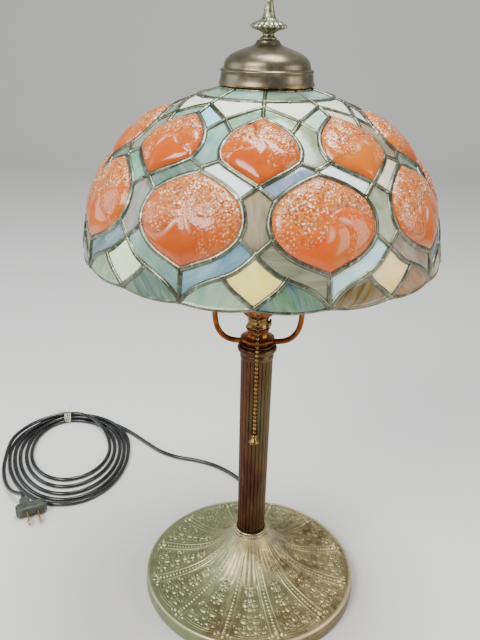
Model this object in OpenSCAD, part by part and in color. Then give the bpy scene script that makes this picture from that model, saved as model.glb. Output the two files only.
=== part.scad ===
// Leaded-glass table lamp: a round cast base, a reeded column, a harp and pull-chain socket,
// and a dome shade of opal strips and domed amber tiles held by a vase cap and a finial.
// Millimetres, +Z up. The origin is the middle of the underside of the felt pad.

/* [Base] */
// Diameter of the cast base
base_d = 220; // [200:1:240]
// Height of the plain band round the edge of the base
base_band_h = 13; // [10:0.5:16]
// Height of the top of the base's hub
hub_top_z = 62; // [58:1:66]

/* [Column] */
// Diameter of the column over its reeds, at its top
column_d = 30.4; // [28:0.2:32]
// Diameter of the column over its reeds, at its foot
column_foot_d = 28; // [26:0.2:29]
// Height of the top of the column
column_top_z = 264.5; // [250:0.5:270]
// Number of reeds round the column
reeds = 24; // [16:2:32]

/* [Harp and socket] */
// Widest distance between the middles of the two harp arms
harp_w = 98; // [90:1:104]
// Diameter of the harp rod
harp_rod_d = 5.6; // [4.4:0.2:6]
// Diameter of the socket shell
socket_d = 33.2; // [32:0.2:35]
// Diameter of the bulb
bulb_d = 60; // [50:1:66]

/* [Shade] */
// Diameter of the shade at its rim
shade_d = 304.6; // [290:0.2:320]
// Number of times the glass pattern repeats round the shade
repeats = 9; // [8:1:10]
// Turn of the glass pattern about the lamp's axis, in degrees
pattern_turn = -1.5; // [-20:0.5:20]
// Thickness of the sheet glass
glass_t = 3; // [2.4:0.1:3.4]
// Width of the lead lines
lead_w = 3.6; // [2.8:0.1:4]
// How far a domed tile stands out in its middle
tile_rise = 7; // [3:0.5:8]

/* [Chain and cord] */
// Diameter of a bead of the pull chain
bead_d = 3.2; // [2.6:0.1:3.4]
// Diameter of the mains cord
cord_d = 5; // [4.6:0.1:5.2]

/* [Hidden] */
$fn = 96;

// Fits between pieces
gap = 0.05;
slip = 0.2;

// Base
base_r = base_d / 2;
base_wall = 5;
rim_lip_z = 1;
felt_t = 2;
hub_r = 17;
hub_bore_r = 5.2;
hub_foot_z = 32;
flare_foot_z = 14.5;
flare_fall = 26;
felt_r = base_r - base_wall - 1;
weight_r = 92;
weight_hole_r = 30;
weight_z = [2.5, 8.5];
lead_channel_w = 12;
foot_ring_h = 6;
function flare_z(r) = flare_foot_z + (hub_top_z + 1.5 - flare_foot_z) * exp((hub_r - r) / flare_fall);

// Column and pipe
column_z = hub_top_z + foot_ring_h;
column_r = column_foot_d / 2;
column_bore_r = 9;
reed_r = 1.7;
pipe_r = 4.8;
pipe_bore_r = 3.2;
pipe_z = [22, 309];
nut_z = 24;
nut_h = 6;
nut_r = 8.5;
washer_t = 2;
capital_h = 14.5;
saddle_z = column_top_z + capital_h;
saddle_t = 3;
bell_z = saddle_z + saddle_t;
bell_h = 13;
spacer_z = bell_z + bell_h;
spacer_r = 10.2;
spacer_h = 11;
screw_up = 4.5;

// Socket
socket_z = spacer_z + spacer_h;
socket_r = socket_d / 2;
socket_wall = 0.8;
shell_z = socket_z + 13;
socket_top_z = 362;
liner_t = 1.2;
screw_r = 13.3;
screw_t = 0.5;
screw_z = [334, 358];
switch_r = 14.6;
switch_z = [socket_z + 8, 329];
contact_z = switch_z[1];

// Bulb
bulb_cap_z = [335.5, 353];
bulb_cap_r = 13.1;
bulb_widest_z = 416;
bulb_top_z = bulb_widest_z + bulb_d / 2;
bulb_wall = 0.8;

// Pull chain
chain_y = -22.5;
guide_bore_r = 2.3;
guide_z = [328, 343];
bead_r = bead_d / 2;
bead_pitch = 4.25;
link_r = 0.5;
link_tip = 0.42;
chain_split_z = 324.5;
upper_beads = 4;
hanging_beads = 31;
pull_top_z = chain_split_z - bead_pitch * hanging_beads;

// Harp
harp_rod_r = harp_rod_d / 2;
harp_half = harp_w / 2;
harp_top_z = 499.6;
stud_r = 3.1;
stud_top_z = 552;
harp_arm = [[14.5, saddle_z + 1.5], [20, saddle_z + 1.5], [27, saddle_z + 3], [33, saddle_z + 7],
    [37.5, saddle_z + 14], [39.5, saddle_z + 23], [40.5, 315], [43, 330], [46, 346], [harp_half - 0.8, 364],
    [harp_half, 385], [harp_half - 1.5, 406], [harp_half - 5.5, 428], [harp_half - 12, 450],
    [harp_half - 21, 470], [harp_half - 31, 485], [harp_half - 37, 491], [7.05, 495]];

// Dome of the shade: a superellipse turned about the axis, measured by its latitude in degrees
dome_r0 = shade_d / 2;
dome_foot_z = 359.9;
dome_h = 150.7;
dome_side = 1.16;
dome_crown = 0.8306;
top_lat = 73.5;
rim_lat = 3.2;
came_out = 1.8;
came_edge = 0.5;
came_in = 0.5;
half_pitch = 180 / repeats;
function dome_r(lat) = dome_r0 * pow(cos(lat), dome_side);
function dome_z(lat) = dome_foot_z + dome_h * pow(sin(lat), dome_crown);
function dome_slope(lat) = [dome_r0 * dome_side * pow(cos(lat), dome_side - 1) * sin(lat),
    dome_h * dome_crown * pow(sin(lat), dome_crown - 1) * cos(lat)];
function unit(v) = v / norm(v);
function flat_normal(lat) = unit([dome_slope(lat)[1], dome_slope(lat)[0]]);
// A place in the pattern is [turn, lat]: turn counts half repeats, so whole repeats are 2 apart
function wrap(turn) = let (t = round(turn * 1000), all = 2000 * repeats) (t - all * floor(t / all)) / 1000;
function bearing(turn) = pattern_turn + wrap(turn) * half_pitch;
function dome_normal(p) = let (a = bearing(p[0]), n = flat_normal(p[1])) [n[0] * sin(a), -n[0] * cos(a), n[1]];
function dome_point(p) = let (a = bearing(p[0]), r = dome_r(p[1])) [r * sin(a), -r * cos(a), dome_z(p[1])];

// Lead lines of half a repeat, from the middle of an upper tile (turn 0) to the middle of the
// next lower tile (turn 1)
top_edge = [[0, top_lat], [0.5, top_lat], [1, top_lat]];
top_joint = [[0, top_lat], [0, 65.5]];
under_top = [[0, 65.5], [0.5, 65.5], [1, 65.5]];
cream_joint = [[0, 65.5], [0, 62.3]];
cream_low = [[0, 62.3], [0.35, 60.4], [0.7, 58], [1, 55.5]];
border_joint = [[0, 62.3], [0, 56.8]];
tile_brow = [[0, 56.8], [0.22, 55.2], [0.46, 53], [0.66, 50.2]];
waist_roof = [[1, 55.5], [0.66, 50.2]];
waist_side = [[0.66, 50.2], [0.76, 47], [0.78, 43.6], [0.71, 40.3]];
waist_foot = [[0.71, 40.3], [1, 38]];
brow_joint = [[1, 38], [1, 36.4]];
tile_chin = [[0.71, 40.3], [0.5, 38], [0.25, 35.6], [0, 33]];
low_brow = [[1, 36.4], [0.75, 34.9], [0.48, 32.3], [0.27, 29.2]];
low_roof = [[0, 33], [0.27, 29.2]];
low_side = [[0.27, 29.2], [0.2, 26.2], [0.18, 22.6], [0.23, 19.2]];
low_foot = [[0.23, 19.2], [0, 15.3]];
low_chin = [[0.23, 19.2], [0.36, 16.4], [0.56, 13.9], [0.8, 12], [1, 10.4]];
border_low = [[0, 15.3], [0.13, 13], [0.27, 11], [0.42, 9.6]];
corner_top = [[0.42, 9.6], [0.62, 8.2], [0.82, 6.2], [1, 3.2]];
diamond_low = [[0.42, 9.6], [0.3, 7.2], [0.15, 5.1], [0, 3.2]];
tail_joint = [[1, 10.4], [1, 6.8], [1, 3.2]];
rim_edge = [[0, 3.2], [0.25, 2.8], [0.5, 2.65], [0.75, 2.8], [1, 3.2]];

// Outlines: a loop drops the last point of each line, because the next line starts with it
function back(line) = [for (i = [len(line) - 1:-1:0]) line[i]];
function open_end(line) = [for (i = [0:len(line) - 2]) line[i]];
function loop(lines) = [for (line = lines) each open_end(line)];
function mirror_turn(line, about) = [for (p = line) [2 * about - p[0], p[1]]];
function both_sides(lines, about) = concat(loop(lines), loop([for (i = [len(lines) - 1:-1:0])
    back(mirror_turn(lines[i], about))]));
function signed_area(o) = let (n = len(o)) [for (i = 0, s = 0; i <= n;
    s = s + (i < n ? o[i][0] * o[(i + 1) % n][1] - o[(i + 1) % n][0] * o[i][1] : 0), i = i + 1) s][n];
function ordered(o) = signed_area(o) > 0 ? o : back(o);
function shifted(o, k) = [for (p = o) [wrap(p[0] + 2 * k), p[1]]];
function pair(o) = [ordered(o), ordered(mirror_turn(o, 0))];

top_strip = [ordered(both_sides([back(top_edge), top_joint, under_top], 1))];
cream_upper = [ordered(both_sides([back(under_top), cream_joint, cream_low], 1))];
border_upper = pair(loop([cream_low, waist_roof, back(tile_brow), back(border_joint)]));
waist_upper = [ordered(both_sides([waist_roof, waist_side, waist_foot], 1))];
upper_tile = [ordered(both_sides([tile_brow, waist_side, tile_chin], 0))];
border_middle = pair(loop([tile_chin, low_roof, back(low_brow), back(brow_joint), back(waist_foot)]));
waist_lower = [ordered(both_sides([low_roof, low_side, low_foot], 0))];
lower_tile = [ordered(both_sides([low_brow, low_side, low_chin], 1))];
border_lower = pair(loop([low_foot, border_low, corner_top, back(tail_joint), back(low_chin)]));
diamond = [ordered(both_sides([border_low, diamond_low], 0))];
rim_corner = pair(loop([back(diamond_low), corner_top, back(rim_edge)]));
all_cells = concat(top_strip, cream_upper, border_upper, waist_upper, upper_tile, border_middle,
    waist_lower, lower_tile, border_lower, diamond, rim_corner);

// A loop on the dome moved inwards by d, within the surface, as 3-D points
function side_step(p, q, n) = unit(cross(n, q - p));
function inset(o, d) = let (n = len(o), at = [for (p = o) dome_point(p)]) [for (i = [0:n - 1])
    let (up = dome_normal(o[i]), m1 = side_step(at[(i + n - 1) % n], at[i], up),
        m2 = side_step(at[i], at[(i + 1) % n], up)) at[i] + d * (m1 + m2) / (1 + m1 * m2)];
function lifted(o, points, h) = [for (i = [0:len(o) - 1]) points[i] + h * dome_normal(o[i])];
function mean(points) = [for (i = 0, s = [0, 0, 0]; i <= len(points);
    s = s + (i < len(points) ? points[i] : [0, 0, 0]), i = i + 1) s][len(points)] / len(points);

// Side faces between ring a and ring b, each with n points, and fans that close them
function band(a, b, n) = [for (i = [0:n - 1]) let (j = (i + 1) % n) each
    [[a + i, b + i, b + j], [a + i, b + j, a + j]]];
function fan(a, c, n) = [for (i = [0:n - 1]) [a + (i + 1) % n, a + i, c]];
function turned(faces) = [for (f = faces) [f[2], f[1], f[0]]];

// Tube along a list of points, with flat ends
function tangent(path, i) = unit(path[min(i + 1, len(path) - 1)] - path[max(i - 1, 0)]);
function rod_ring(p, t, r, sides) = let (u = unit(cross(t, abs(t[2]) > 0.9 ? [0, 1, 0] : [0, 0, 1])),
    v = cross(t, u)) [for (k = [0:sides - 1]) p + r * (u * cos(360 * k / sides) + v * sin(360 * k / sides))];
module tube_along(path, r, sides) {
    n = len(path);
    rings = [for (i = [0:n - 1]) each rod_ring(path[i], tangent(path, i), r, sides)];
    ends = [path[0], path[n - 1]];
    sides_faces = [for (i = [0:n - 2]) each band(i * sides, (i + 1) * sides, sides)];
    polyhedron(concat(rings, ends), concat(sides_faces, turned(fan(0, n * sides, sides)),
        fan((n - 1) * sides, n * sides + 1, sides)));
}

// Smooth curve through hand-placed points: steps more points between each two
function between(p0, p1, p2, p3, t) = 0.5 * (2 * p1 + (p2 - p0) * t + (2 * p0 - 5 * p1 + 4 * p2 - p3) * t * t
    + (3 * p1 - p0 - 3 * p2 + p3) * t * t * t);
function smooth(path, steps) = let (n = len(path)) concat([for (i = [0:n - 2]) for (k = [0:steps - 1])
    between(path[max(i - 1, 0)], path[i], path[i + 1], path[min(i + 2, n - 1)], k / steps)], [path[n - 1]]);

// Cord: out of the back of the base, down to the table and away to the left into its coil
cord_r = cord_d / 2;
exit_z = 6.5;
cord_route = [[0, 98, 6.5], [0, 112, 6.5], [0, 128, 6.3], [-2, 142, 4], [-12, 162, 2.6], [-30, 182, 2.6],
    [-52, 198, 2.6], [-78, 208, 2.6], [-104, 214, 2.6], [-128, 226, 2.6], [-150, 245, 2.6], [-169, 263, 2.6],
    [-186, 278, 2.6], [-200, 287, 2.6]];
lead_route = [[0, 97.5, 6.5], [0, 60, 6.5], [0, 32, 6.8], [0, 18, 9], [0, 6, 14], [0, 0, 22], [0, 0, 36],
    [0, 0, 60], [0, 0, 100], [0, 0, 150], [0, 0, 200], [0, 0, 250], [0, 0, 290], [0, 0, socket_z + 6]];
coil_mid = [-250, 203];
coil_turn = 14;
coil_r = 82;
coil_half = 22;
coil_hole_mid = [5, 26];
coil_hole_r = 48;
coil_hole_half = 14;
coil_h = 10.4;
plug_at = [-265, 85.5, 8.9];
plug_turn = [12, 0, 28];
plug_w = 36;
plug_t = 15;
blade_gap = 12.7;
blade_l = 19;

// Vase cap and finial
cap_z = 508.3;
cap_r = 38.6;
cap_t = 1.2;
cap_top_z = 541;
finial_z = cap_top_z + 0.3;

module felt_pad() color("darkolivegreen") difference() {
    cylinder(r = felt_r, h = felt_t);
    translate([0, 0, -1]) cylinder(r = 14, h = felt_t + 2);
}

module base_weight() color("dimgray") translate([0, 0, weight_z[0]]) difference() {
    cylinder(r = weight_r, h = weight_z[1] - weight_z[0]);
    translate([0, 0, -1]) cylinder(r = weight_hole_r, h = 10);
    translate([-lead_channel_w / 2, 0, -1]) cube([lead_channel_w, weight_r + 1, 10]);
}

module base_casting() color("darkgoldenrod") difference() {
    rotate_extrude() polygon(concat(
        [[hub_bore_r, hub_foot_z], [12, hub_foot_z], [12, hub_top_z - 12]],
        [for (r = [20, 26, 34, 45, 60, 80, 100]) [r, flare_z(r) - 6]],
        [[base_r - base_wall, 9], [base_r - base_wall, rim_lip_z], [base_r, rim_lip_z],
            [base_r, base_band_h - 2], [base_r - 1.5, base_band_h]],
        [for (r = [104, 92, 80, 68, 57, 48, 40, 33, 27, 22, 18]) [r, flare_z(r)]],
        [[hub_r - 0.5, hub_top_z], [hub_bore_r, hub_top_z]]));
    translate([0, base_r + 2, exit_z]) rotate([90, 0, 0]) cylinder(r = 4.2, h = base_wall + 8);
}

module cord_bushing() color("black") translate([0, base_r - base_wall, exit_z]) rotate([-90, 0, 0])
    difference() {
        union() {
            cylinder(r = 4.15, h = base_wall + 0.5);
            translate([0, 0, base_wall + 0.1]) cylinder(r = 5.4, h = 2.4);
            translate([0, 0, base_wall + 2.5]) cylinder(r1 = 4.8, r2 = 3.3, h = 18);
        }
        translate([0, 0, -1]) cylinder(r = cord_r + slip, h = 40);
    }

module foot_ring() color("saddlebrown") translate([0, 0, hub_top_z]) rotate_extrude()
    polygon(concat([[hub_bore_r, 0], [15, 0]],
        [for (a = [-75:30:75]) [15.2 + 3 * cos(a), foot_ring_h / 2 + 2.9 * sin(a)]],
        [[15, foot_ring_h], [hub_bore_r, foot_ring_h]]));

module column() color("sienna") translate([0, 0, column_z])
    linear_extrude(column_top_z - column_z, scale = column_d / column_foot_d) difference() {
        union() {
            circle(r = column_r - 1.1);
            for (k = [1:reeds]) rotate(k * 360 / reeds) translate([column_r - reed_r, 0]) circle(r = reed_r, $fn = 24);
        }
        circle(r = column_bore_r);
    }

module lamp_pipe() color("gainsboro") translate([0, 0, pipe_z[0]]) difference() {
    cylinder(r = pipe_r, h = pipe_z[1] - pipe_z[0]);
    translate([0, 0, -1]) cylinder(r = pipe_bore_r, h = pipe_z[1]);
}

module pipe_washer() color("silver") translate([0, 0, hub_foot_z - washer_t]) difference() {
    cylinder(r = 11.5, h = washer_t);
    translate([0, 0, -1]) cylinder(r = pipe_r + gap, h = washer_t + 2);
}

module pipe_nut() color("darkgray") translate([0, 0, nut_z]) difference() {
    cylinder(r = nut_r, h = nut_h, $fn = 6);
    translate([0, 0, -1]) cylinder(r = pipe_r + gap, h = nut_h + 2);
}

module inner_lead() color("black") tube_along(smooth(lead_route, 3), 2.2, 8);

module capital() color("saddlebrown") translate([0, 0, column_top_z]) rotate_extrude()
    polygon(concat([[hub_bore_r, 0], [16, 0], [16, 4.4], [15.2, 5.2]],
        [for (a = [-70:28:70]) [15 + 3.4 * cos(a), 9.4 + 3.8 * sin(a)]],
        [[15, 13.4], [15, capital_h], [hub_bore_r, capital_h]]));

module harp_saddle() color("peru") translate([0, 0, saddle_z]) difference() {
    union() {
        cylinder(r = 12, h = saddle_t);
        for (s = [-1, 1]) translate([s * 7 - 7.45, -4, 0]) cube([14.9, 8, saddle_t]);
    }
    translate([0, 0, -1]) cylinder(r = hub_bore_r, h = saddle_t + 2);
}

module harp_arm(side) tube_along(smooth([for (p = harp_arm) [side * p[0], 0, p[1]]], 2), harp_rod_r * 0.98, 10);
module harp_arm_left() color("peru") harp_arm(-1);
module harp_arm_right() color("peru") harp_arm(1);

module harp_top() color("peru") union() {
    translate([0, 0, harp_top_z - 8]) cylinder(r = 7, h = 8);
    translate([0, 0, harp_top_z - 1]) cylinder(r = stud_r, h = stud_top_z - harp_top_z + 1);
}

module neck_bell() color("peru") translate([0, 0, bell_z]) rotate_extrude() polygon(concat(
    [[hub_bore_r, 0], [14.5, 0], [16, 1.2], [16, 2.6]],
    [for (a = [0:18:90]) [10 + 5.4 * (1 - sin(a)), 3 + 7.5 * (1 - cos(a))]],
    [[10, bell_h - 1.6], [11.2, bell_h - 1], [11.2, bell_h], [hub_bore_r, bell_h]]));

module neck_spacer() color("peru") translate([0, 0, spacer_z]) difference() {
    cylinder(r = spacer_r, h = spacer_h);
    translate([0, 0, -1]) cylinder(r = hub_bore_r, h = spacer_h + 2);
    translate([0, 0, screw_up]) rotate([0, 90, 0]) cylinder(r = 1.6, h = 12);
}

module neck_screw() color("goldenrod") translate([0, 0, spacer_z + screw_up]) rotate([0, 90, 0]) union() {
    translate([0, 0, 5.3]) cylinder(r = 1.5, h = 6);
    translate([0, 0, 10.4]) cylinder(r = 3.2, h = 2.2);
}

module socket_cap() color("darkgoldenrod") translate([0, 0, socket_z]) rotate_extrude() polygon(concat(
    [[pipe_r + gap, 0], [10.2, 0]],
    [for (a = [0:15:75]) [10.2 + 6.4 * sin(a), 9 * (1 - cos(a)) + 0.4]],
    [[socket_r + 0.6, 10], [socket_r + 0.6, 14.5], [socket_r + 0.1, 14.5], [socket_r + 0.1, 10.6],
        [14.2, 6.6], [10.2, 1.8], [pipe_r + gap, 1.8]]));

module socket_shell() color("goldenrod") translate([0, 0, shell_z]) difference() {
    cylinder(r = socket_r, h = socket_top_z - shell_z);
    translate([0, 0, -1]) cylinder(r = socket_r - socket_wall, h = 60);
    translate([0, 0, 335.5 - shell_z]) rotate([90, 0, 0]) cylinder(r = 3.6, h = 30);
}

module socket_liner() color("burlywood") translate([0, 0, switch_z[1] + 0.5]) difference() {
    cylinder(r = socket_r - socket_wall - gap, h = 31);
    translate([0, 0, -1]) cylinder(r = socket_r - socket_wall - liner_t, h = 40);
    translate([0, 0, 335.5 - switch_z[1] - 0.5]) rotate([90, 0, 0]) cylinder(r = 3.6, h = 30);
}

module socket_switch() color("saddlebrown") translate([0, 0, switch_z[0]])
    cylinder(r = switch_r, h = switch_z[1] - switch_z[0]);

module socket_screw_shell() color("goldenrod") translate([0, 0, screw_z[0]]) difference() {
    cylinder(r = screw_r + screw_t, h = screw_z[1] - screw_z[0]);
    translate([0, 0, -1]) cylinder(r = screw_r, h = 60);
}

module socket_contact() color("gold") translate([0, 0, contact_z]) union() {
    cylinder(r = screw_r + screw_t, h = 2);
    cylinder(r = 3.5, h = 4.6);
}

module chain_guide() color("goldenrod") translate([0, chain_y, 0]) difference() {
    union() {
        translate([0, 0, guide_z[0]]) cylinder(r = 4.2, h = guide_z[1] - guide_z[0]);
        translate([0, 0, guide_z[0]]) cylinder(r1 = 5.6, r2 = 4.2, h = 3);
        translate([0, 0, 335.5]) rotate([-90, 0, 0]) cylinder(r = 3.4, h = 8);
    }
    translate([0, 0, guide_z[0] - 1]) cylinder(r = guide_bore_r, h = 30);
}

function bead_outline(z) = [for (a = [-72:24:72]) [bead_r * cos(a), z + bead_r * sin(a)]];
module bead_string(top_z, count) rotate_extrude($fn = 16) polygon(concat(
    [[0, top_z - bead_pitch * count + gap]],
    [for (k = [count - 1:-1:0]) each concat([[link_r, top_z - bead_pitch * (k + 1) + link_tip]],
        bead_outline(top_z - bead_pitch * (k + 0.5)), [[link_r, top_z - bead_pitch * k - link_tip]])],
    [[0, top_z - gap]]));

module chain_upper() color("goldenrod") translate([0, chain_y, 0])
    bead_string(chain_split_z + bead_pitch * upper_beads, upper_beads);

module pull_chain() color("goldenrod") translate([0, chain_y, 0]) bead_string(chain_split_z, hanging_beads);

module pull_bell() color("darkgoldenrod") translate([0, chain_y, pull_top_z - 10]) rotate_extrude($fn = 48)
    polygon([[0, 0], [2.4, 0.3], [4.4, 1.4], [5, 3], [4.3, 5.2], [2.9, 7.2], [2, 8.6], [1.7, 9.7], [0, 9.95]]);

module bulb_contact() color("silver") translate([0, 0, 333.65]) cylinder(r = 3, h = 1.8);

module bulb_cap() color("silver") translate([0, 0, bulb_cap_z[0]]) difference() {
    union() {
        cylinder(r1 = 8, r2 = bulb_cap_r, h = 3);
        translate([0, 0, 3]) cylinder(r = bulb_cap_r, h = bulb_cap_z[1] - bulb_cap_z[0] - 3);
    }
    translate([0, 0, 1]) cylinder(r1 = 7.2, r2 = bulb_cap_r - 0.6, h = 2.6);
    translate([0, 0, 3.5]) cylinder(r = bulb_cap_r - 0.6, h = 40);
}

function bulb_line(w) = concat(
    [[bulb_cap_r - 0.7 - w, bulb_cap_z[0] + 12], [bulb_cap_r - 0.7 - w, bulb_cap_z[1] + 3]],
    [for (t = [0.15:0.17:0.84]) [bulb_cap_r + (bulb_d / 2 - bulb_cap_r) * (0.5 - 0.5 * cos(180 * t)) - w,
        bulb_cap_z[1] + 4 + (bulb_widest_z - 8 - bulb_cap_z[1]) * t]],
    [for (a = [0:10:80]) [(bulb_d / 2 - w) * cos(a), bulb_widest_z + (bulb_d / 2 - w) * sin(a)]],
    [[0, bulb_top_z - w]]);
module bulb_glass() color("white") rotate_extrude() polygon(concat(bulb_line(0), back(bulb_line(bulb_wall))));

module bulb_stem() color("lightgray") union() {
    translate([0, 0, bulb_cap_z[0] + 14]) cylinder(r = 10.5, h = 1.2);
    translate([0, 0, bulb_cap_z[0] + 15]) cylinder(r1 = 6, r2 = 2, h = 30);
    translate([0, 0, bulb_cap_z[0] + 44]) cylinder(r = 1, h = 22);
    for (s = [-1, 1]) translate([s * 4, 0, bulb_cap_z[0] + 24]) rotate([0, s * 12, 0]) cylinder(r = 0.5, h = 48);
}

// Middle of a cell on the dome: its latitude, and its place in the pattern under a 3-D point
function mean_lat(o) = mean([for (p = o) [p[1], 0, 0]])[0];
function place_under(p, lat) = [(atan2(p[0], -p[1]) - pattern_turn) / half_pitch, lat];
// How far the dome lies above the mean of a cell's edge
function crown_lift(mid, lat) = let (n = flat_normal(lat))
    (dome_r(lat) - norm([mid[0], mid[1]])) * n[0] + (dome_z(lat) - mid[2]) * n[1];

// Glass in one cell, its edges inside the lead; a domed tile has a rise and one more ring
module pane(o, rise) {
    n = len(o);
    edge = inset(o, lead_w / 2 + gap);
    mid = mean(edge);
    lat = mean_lat(o);
    up = dome_normal(place_under(mid, lat));
    crown = mid + up * crown_lift(mid, lat);
    front = lifted(o, edge, 0);
    rear = lifted(o, edge, -glass_t);
    bulge = [for (p = front) p + (crown - p) * 0.4 + up * rise * 0.8];
    if (rise > 0)
        polyhedron(concat(front, bulge, rear, [crown + up * rise, crown - up * glass_t]),
            concat(band(0, n, n), fan(n, 3 * n, n), band(2 * n, 0, n), turned(fan(2 * n, 3 * n + 1, n))));
    else
        polyhedron(concat(front, rear, [crown, crown - up * glass_t]),
            concat(fan(0, 2 * n, n), band(n, 0, n), turned(fan(n, 2 * n + 1, n))));
}
module panes(cells, rise = 0) for (k = [0:repeats - 1]) for (o = cells) pane(shifted(o, k), rise);

module glass_top_strip() color("cadetblue") panes(top_strip);
module glass_cream_upper() color("ivory") panes(cream_upper);
module glass_border_upper() color("darkseagreen") panes(border_upper);
module glass_waist_upper() color("powderblue") panes(waist_upper);
module tile_upper() color("darkorange") panes(upper_tile, tile_rise);
module glass_border_middle() color("lightsteelblue") panes(border_middle);
module glass_waist_lower() color("thistle") panes(waist_lower);
module tile_lower() color("orangered") panes(lower_tile, tile_rise);
module glass_border_lower() color("slategray") panes(border_lower);
module glass_diamond() color("lemonchiffon") panes(diamond);
module glass_rim_corner() color("rosybrown") panes(rim_corner);

// Lead came: one net that shares its middle lines between neighbouring cells
function on_border(p, q) = max(p[1], q[1]) <= rim_lat || min(p[1], q[1]) >= top_lat;
function border_faces(o, a, b) = let (n = len(o)) [for (i = [0:n - 1]) let (j = (i + 1) % n)
    if (on_border(o[i], o[j])) each [[b + i, a + i, a + j], [b + i, a + j, b + j]]];
function came_points(o) = let (line = [for (p = o) dome_point(p)], edge = inset(o, lead_w / 2)) concat(
    lifted(o, line, came_out), lifted(o, edge, came_edge),
    lifted(o, line, -glass_t - came_out), lifted(o, edge, -glass_t - came_in));
function came_faces(o, a) = let (n = len(o)) [for (f = concat(band(0, n, n), band(n, 3 * n, n),
    band(3 * n, 2 * n, n), border_faces(o, 0, 2 * n))) [for (v = f) v + a]];
module lead_came() color("dimgray") {
    cells = [for (k = [0:repeats - 1]) for (o = all_cells) shifted(o, k)];
    starts = [for (i = 0, s = 0; i < len(cells); s = s + 4 * len(cells[i]), i = i + 1) s];
    polyhedron([for (o = cells) each came_points(o)],
        [for (i = [0:len(cells) - 1]) each came_faces(cells[i], starts[i])]);
}

// Wire that stiffens the scalloped rim
module rim_wire() color("darkgoldenrod") {
    n = 2 * repeats * (len(rim_edge) - 1);
    sides = 6;
    wire_r = 1;
    low = [for (k = [0:2 * repeats - 1]) each open_end([for (p = rim_edge) [wrap(k + p[0]), p[1]]])];
    rings = [for (p = low) let (a = bearing(p[0]), c = dome_point(p) - [0, 0, 1.1]) each
        [for (s = [0:sides - 1]) let (w = 360 * s / sides, r = wire_r * cos(w) - 1.6)
            c + [r * sin(a), -r * cos(a), wire_r * sin(w)]]];
    polyhedron(rings, [for (i = [0:n - 1]) let (j = (i + 1) % n) for (s = [0:sides - 1])
        let (t = (s + 1) % sides) each [[i * sides + s, j * sides + t, j * sides + s],
            [i * sides + s, i * sides + t, j * sides + t]]]);
}

module aperture_ring() color("darkgoldenrod") rotate_extrude() polygon([[32, 499], [33.6, 499], [33.6, cap_z - 1],
    [cap_r, cap_z - 1], [cap_r, cap_z], [32, cap_z]]);

module spider() color("goldenrod") difference() {
    union() {
        translate([0, 0, 500]) cylinder(r = 9, h = 5);
        for (k = [0:2]) rotate(k * 120 + 30) translate([6, -2.5, 500.5]) cube([25.9, 5, 3]);
    }
    translate([0, 0, 499]) cylinder(r = stud_r + 0.4, h = 8);
}

function cap_line(t) = concat([[cap_r - t, cap_z], [cap_r - 1 - t, cap_z + 2.5], [cap_r - 1 - t, cap_z + 9]],
    [[cap_r - 2.2 - t, cap_z + 11], [34 - t, cap_z + 12.5]],
    [for (a = [0:15:75]) [9 + (24 - t) * cos(a), cap_z + 15 + (14.5 - t) * sin(a)]],
    [[9, cap_z + 29.5 - t]]);
module vase_cap() color("saddlebrown") union() {
    rotate_extrude() polygon(concat(cap_line(0), [[7.5, cap_z + 30], [7.5, cap_top_z], [4, cap_top_z],
        [4, cap_z + 28]], back(cap_line(cap_t))));
}

module finial() color("darkkhaki") translate([0, 0, finial_z]) difference() {
    rotate_extrude() polygon([[0, 0], [7, 0], [7, 1.2], [5.5, 2], [4.5, 3], [4.5, 4], [5.2, 5], [7.8, 6.2],
        [11.5, 7.4], [14, 8.3], [14.6, 9.2], [14.4, 10.2], [13.2, 11.6], [11, 12.7], [7.4, 14], [5.9, 14.8],
        [5, 16.6], [4.4, 19.6], [3.5, 24], [2.6, 27.6], [3.2, 29.2], [3.6, 31], [3.2, 32.8], [2, 34.8],
        [0.8, 36], [0, 36.4]]);
    translate([0, 0, -1]) cylinder(r = stud_r + slip, h = stud_top_z - finial_z + 1.6);
}

module cord() color("black") tube_along(smooth(cord_route, 4), cord_r, 8);

module cord_coil() color("black") translate([coil_mid[0], coil_mid[1], 0]) rotate(coil_turn) difference() {
    hull() for (s = [-1, 1]) translate([0, s * coil_half]) cylinder(r = coil_r, h = coil_h, $fn = 64);
    translate([coil_hole_mid[0], coil_hole_mid[1], -1]) hull() for (s = [-1, 1])
        translate([0, s * coil_hole_half]) cylinder(r = coil_hole_r, h = coil_h + 2, $fn = 48);
}

module plug_body() color("dimgray") translate(plug_at) rotate(plug_turn) union() {
    translate([-plug_w / 2, -7, -plug_t / 2]) cube([plug_w, 13, plug_t]);
    translate([-12, 5, -plug_t / 2 + 1]) cube([12, 9, plug_t - 2]);
}

module plug_blades() color("gold") translate(plug_at) rotate(plug_turn)
    for (s = [-1, 1]) translate([s * blade_gap / 2 - 0.75, -7 - blade_l, -3.2]) cube([1.5, blade_l, 6.4]);

felt_pad();
base_weight();
base_casting();
cord_bushing();
foot_ring();
column();
lamp_pipe();
pipe_washer();
pipe_nut();
inner_lead();
capital();
harp_saddle();
harp_arm_left();
harp_arm_right();
harp_top();
neck_bell();
neck_spacer();
neck_screw();
socket_cap();
socket_shell();
socket_liner();
socket_switch();
socket_screw_shell();
socket_contact();
chain_guide();
bulb_contact();
bulb_cap();
bulb_glass();
bulb_stem();
chain_upper();
pull_chain();
pull_bell();
glass_top_strip();
glass_cream_upper();
glass_border_upper();
glass_waist_upper();
tile_upper();
glass_border_middle();
glass_waist_lower();
tile_lower();
glass_border_lower();
glass_diamond();
glass_rim_corner();
lead_came();
rim_wire();
aperture_ring();
spider();
vase_cap();
finial();
cord();
cord_coil();
plug_body();
plug_blades();
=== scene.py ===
"""Looks of the leaded glass table lamp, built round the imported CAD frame. Lengths are in metres."""

import math
import random

import bpy
import numpy as np
from mathutils import Matrix, Vector, noise
from mathutils.geometry import delaunay_2d_cdt


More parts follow.
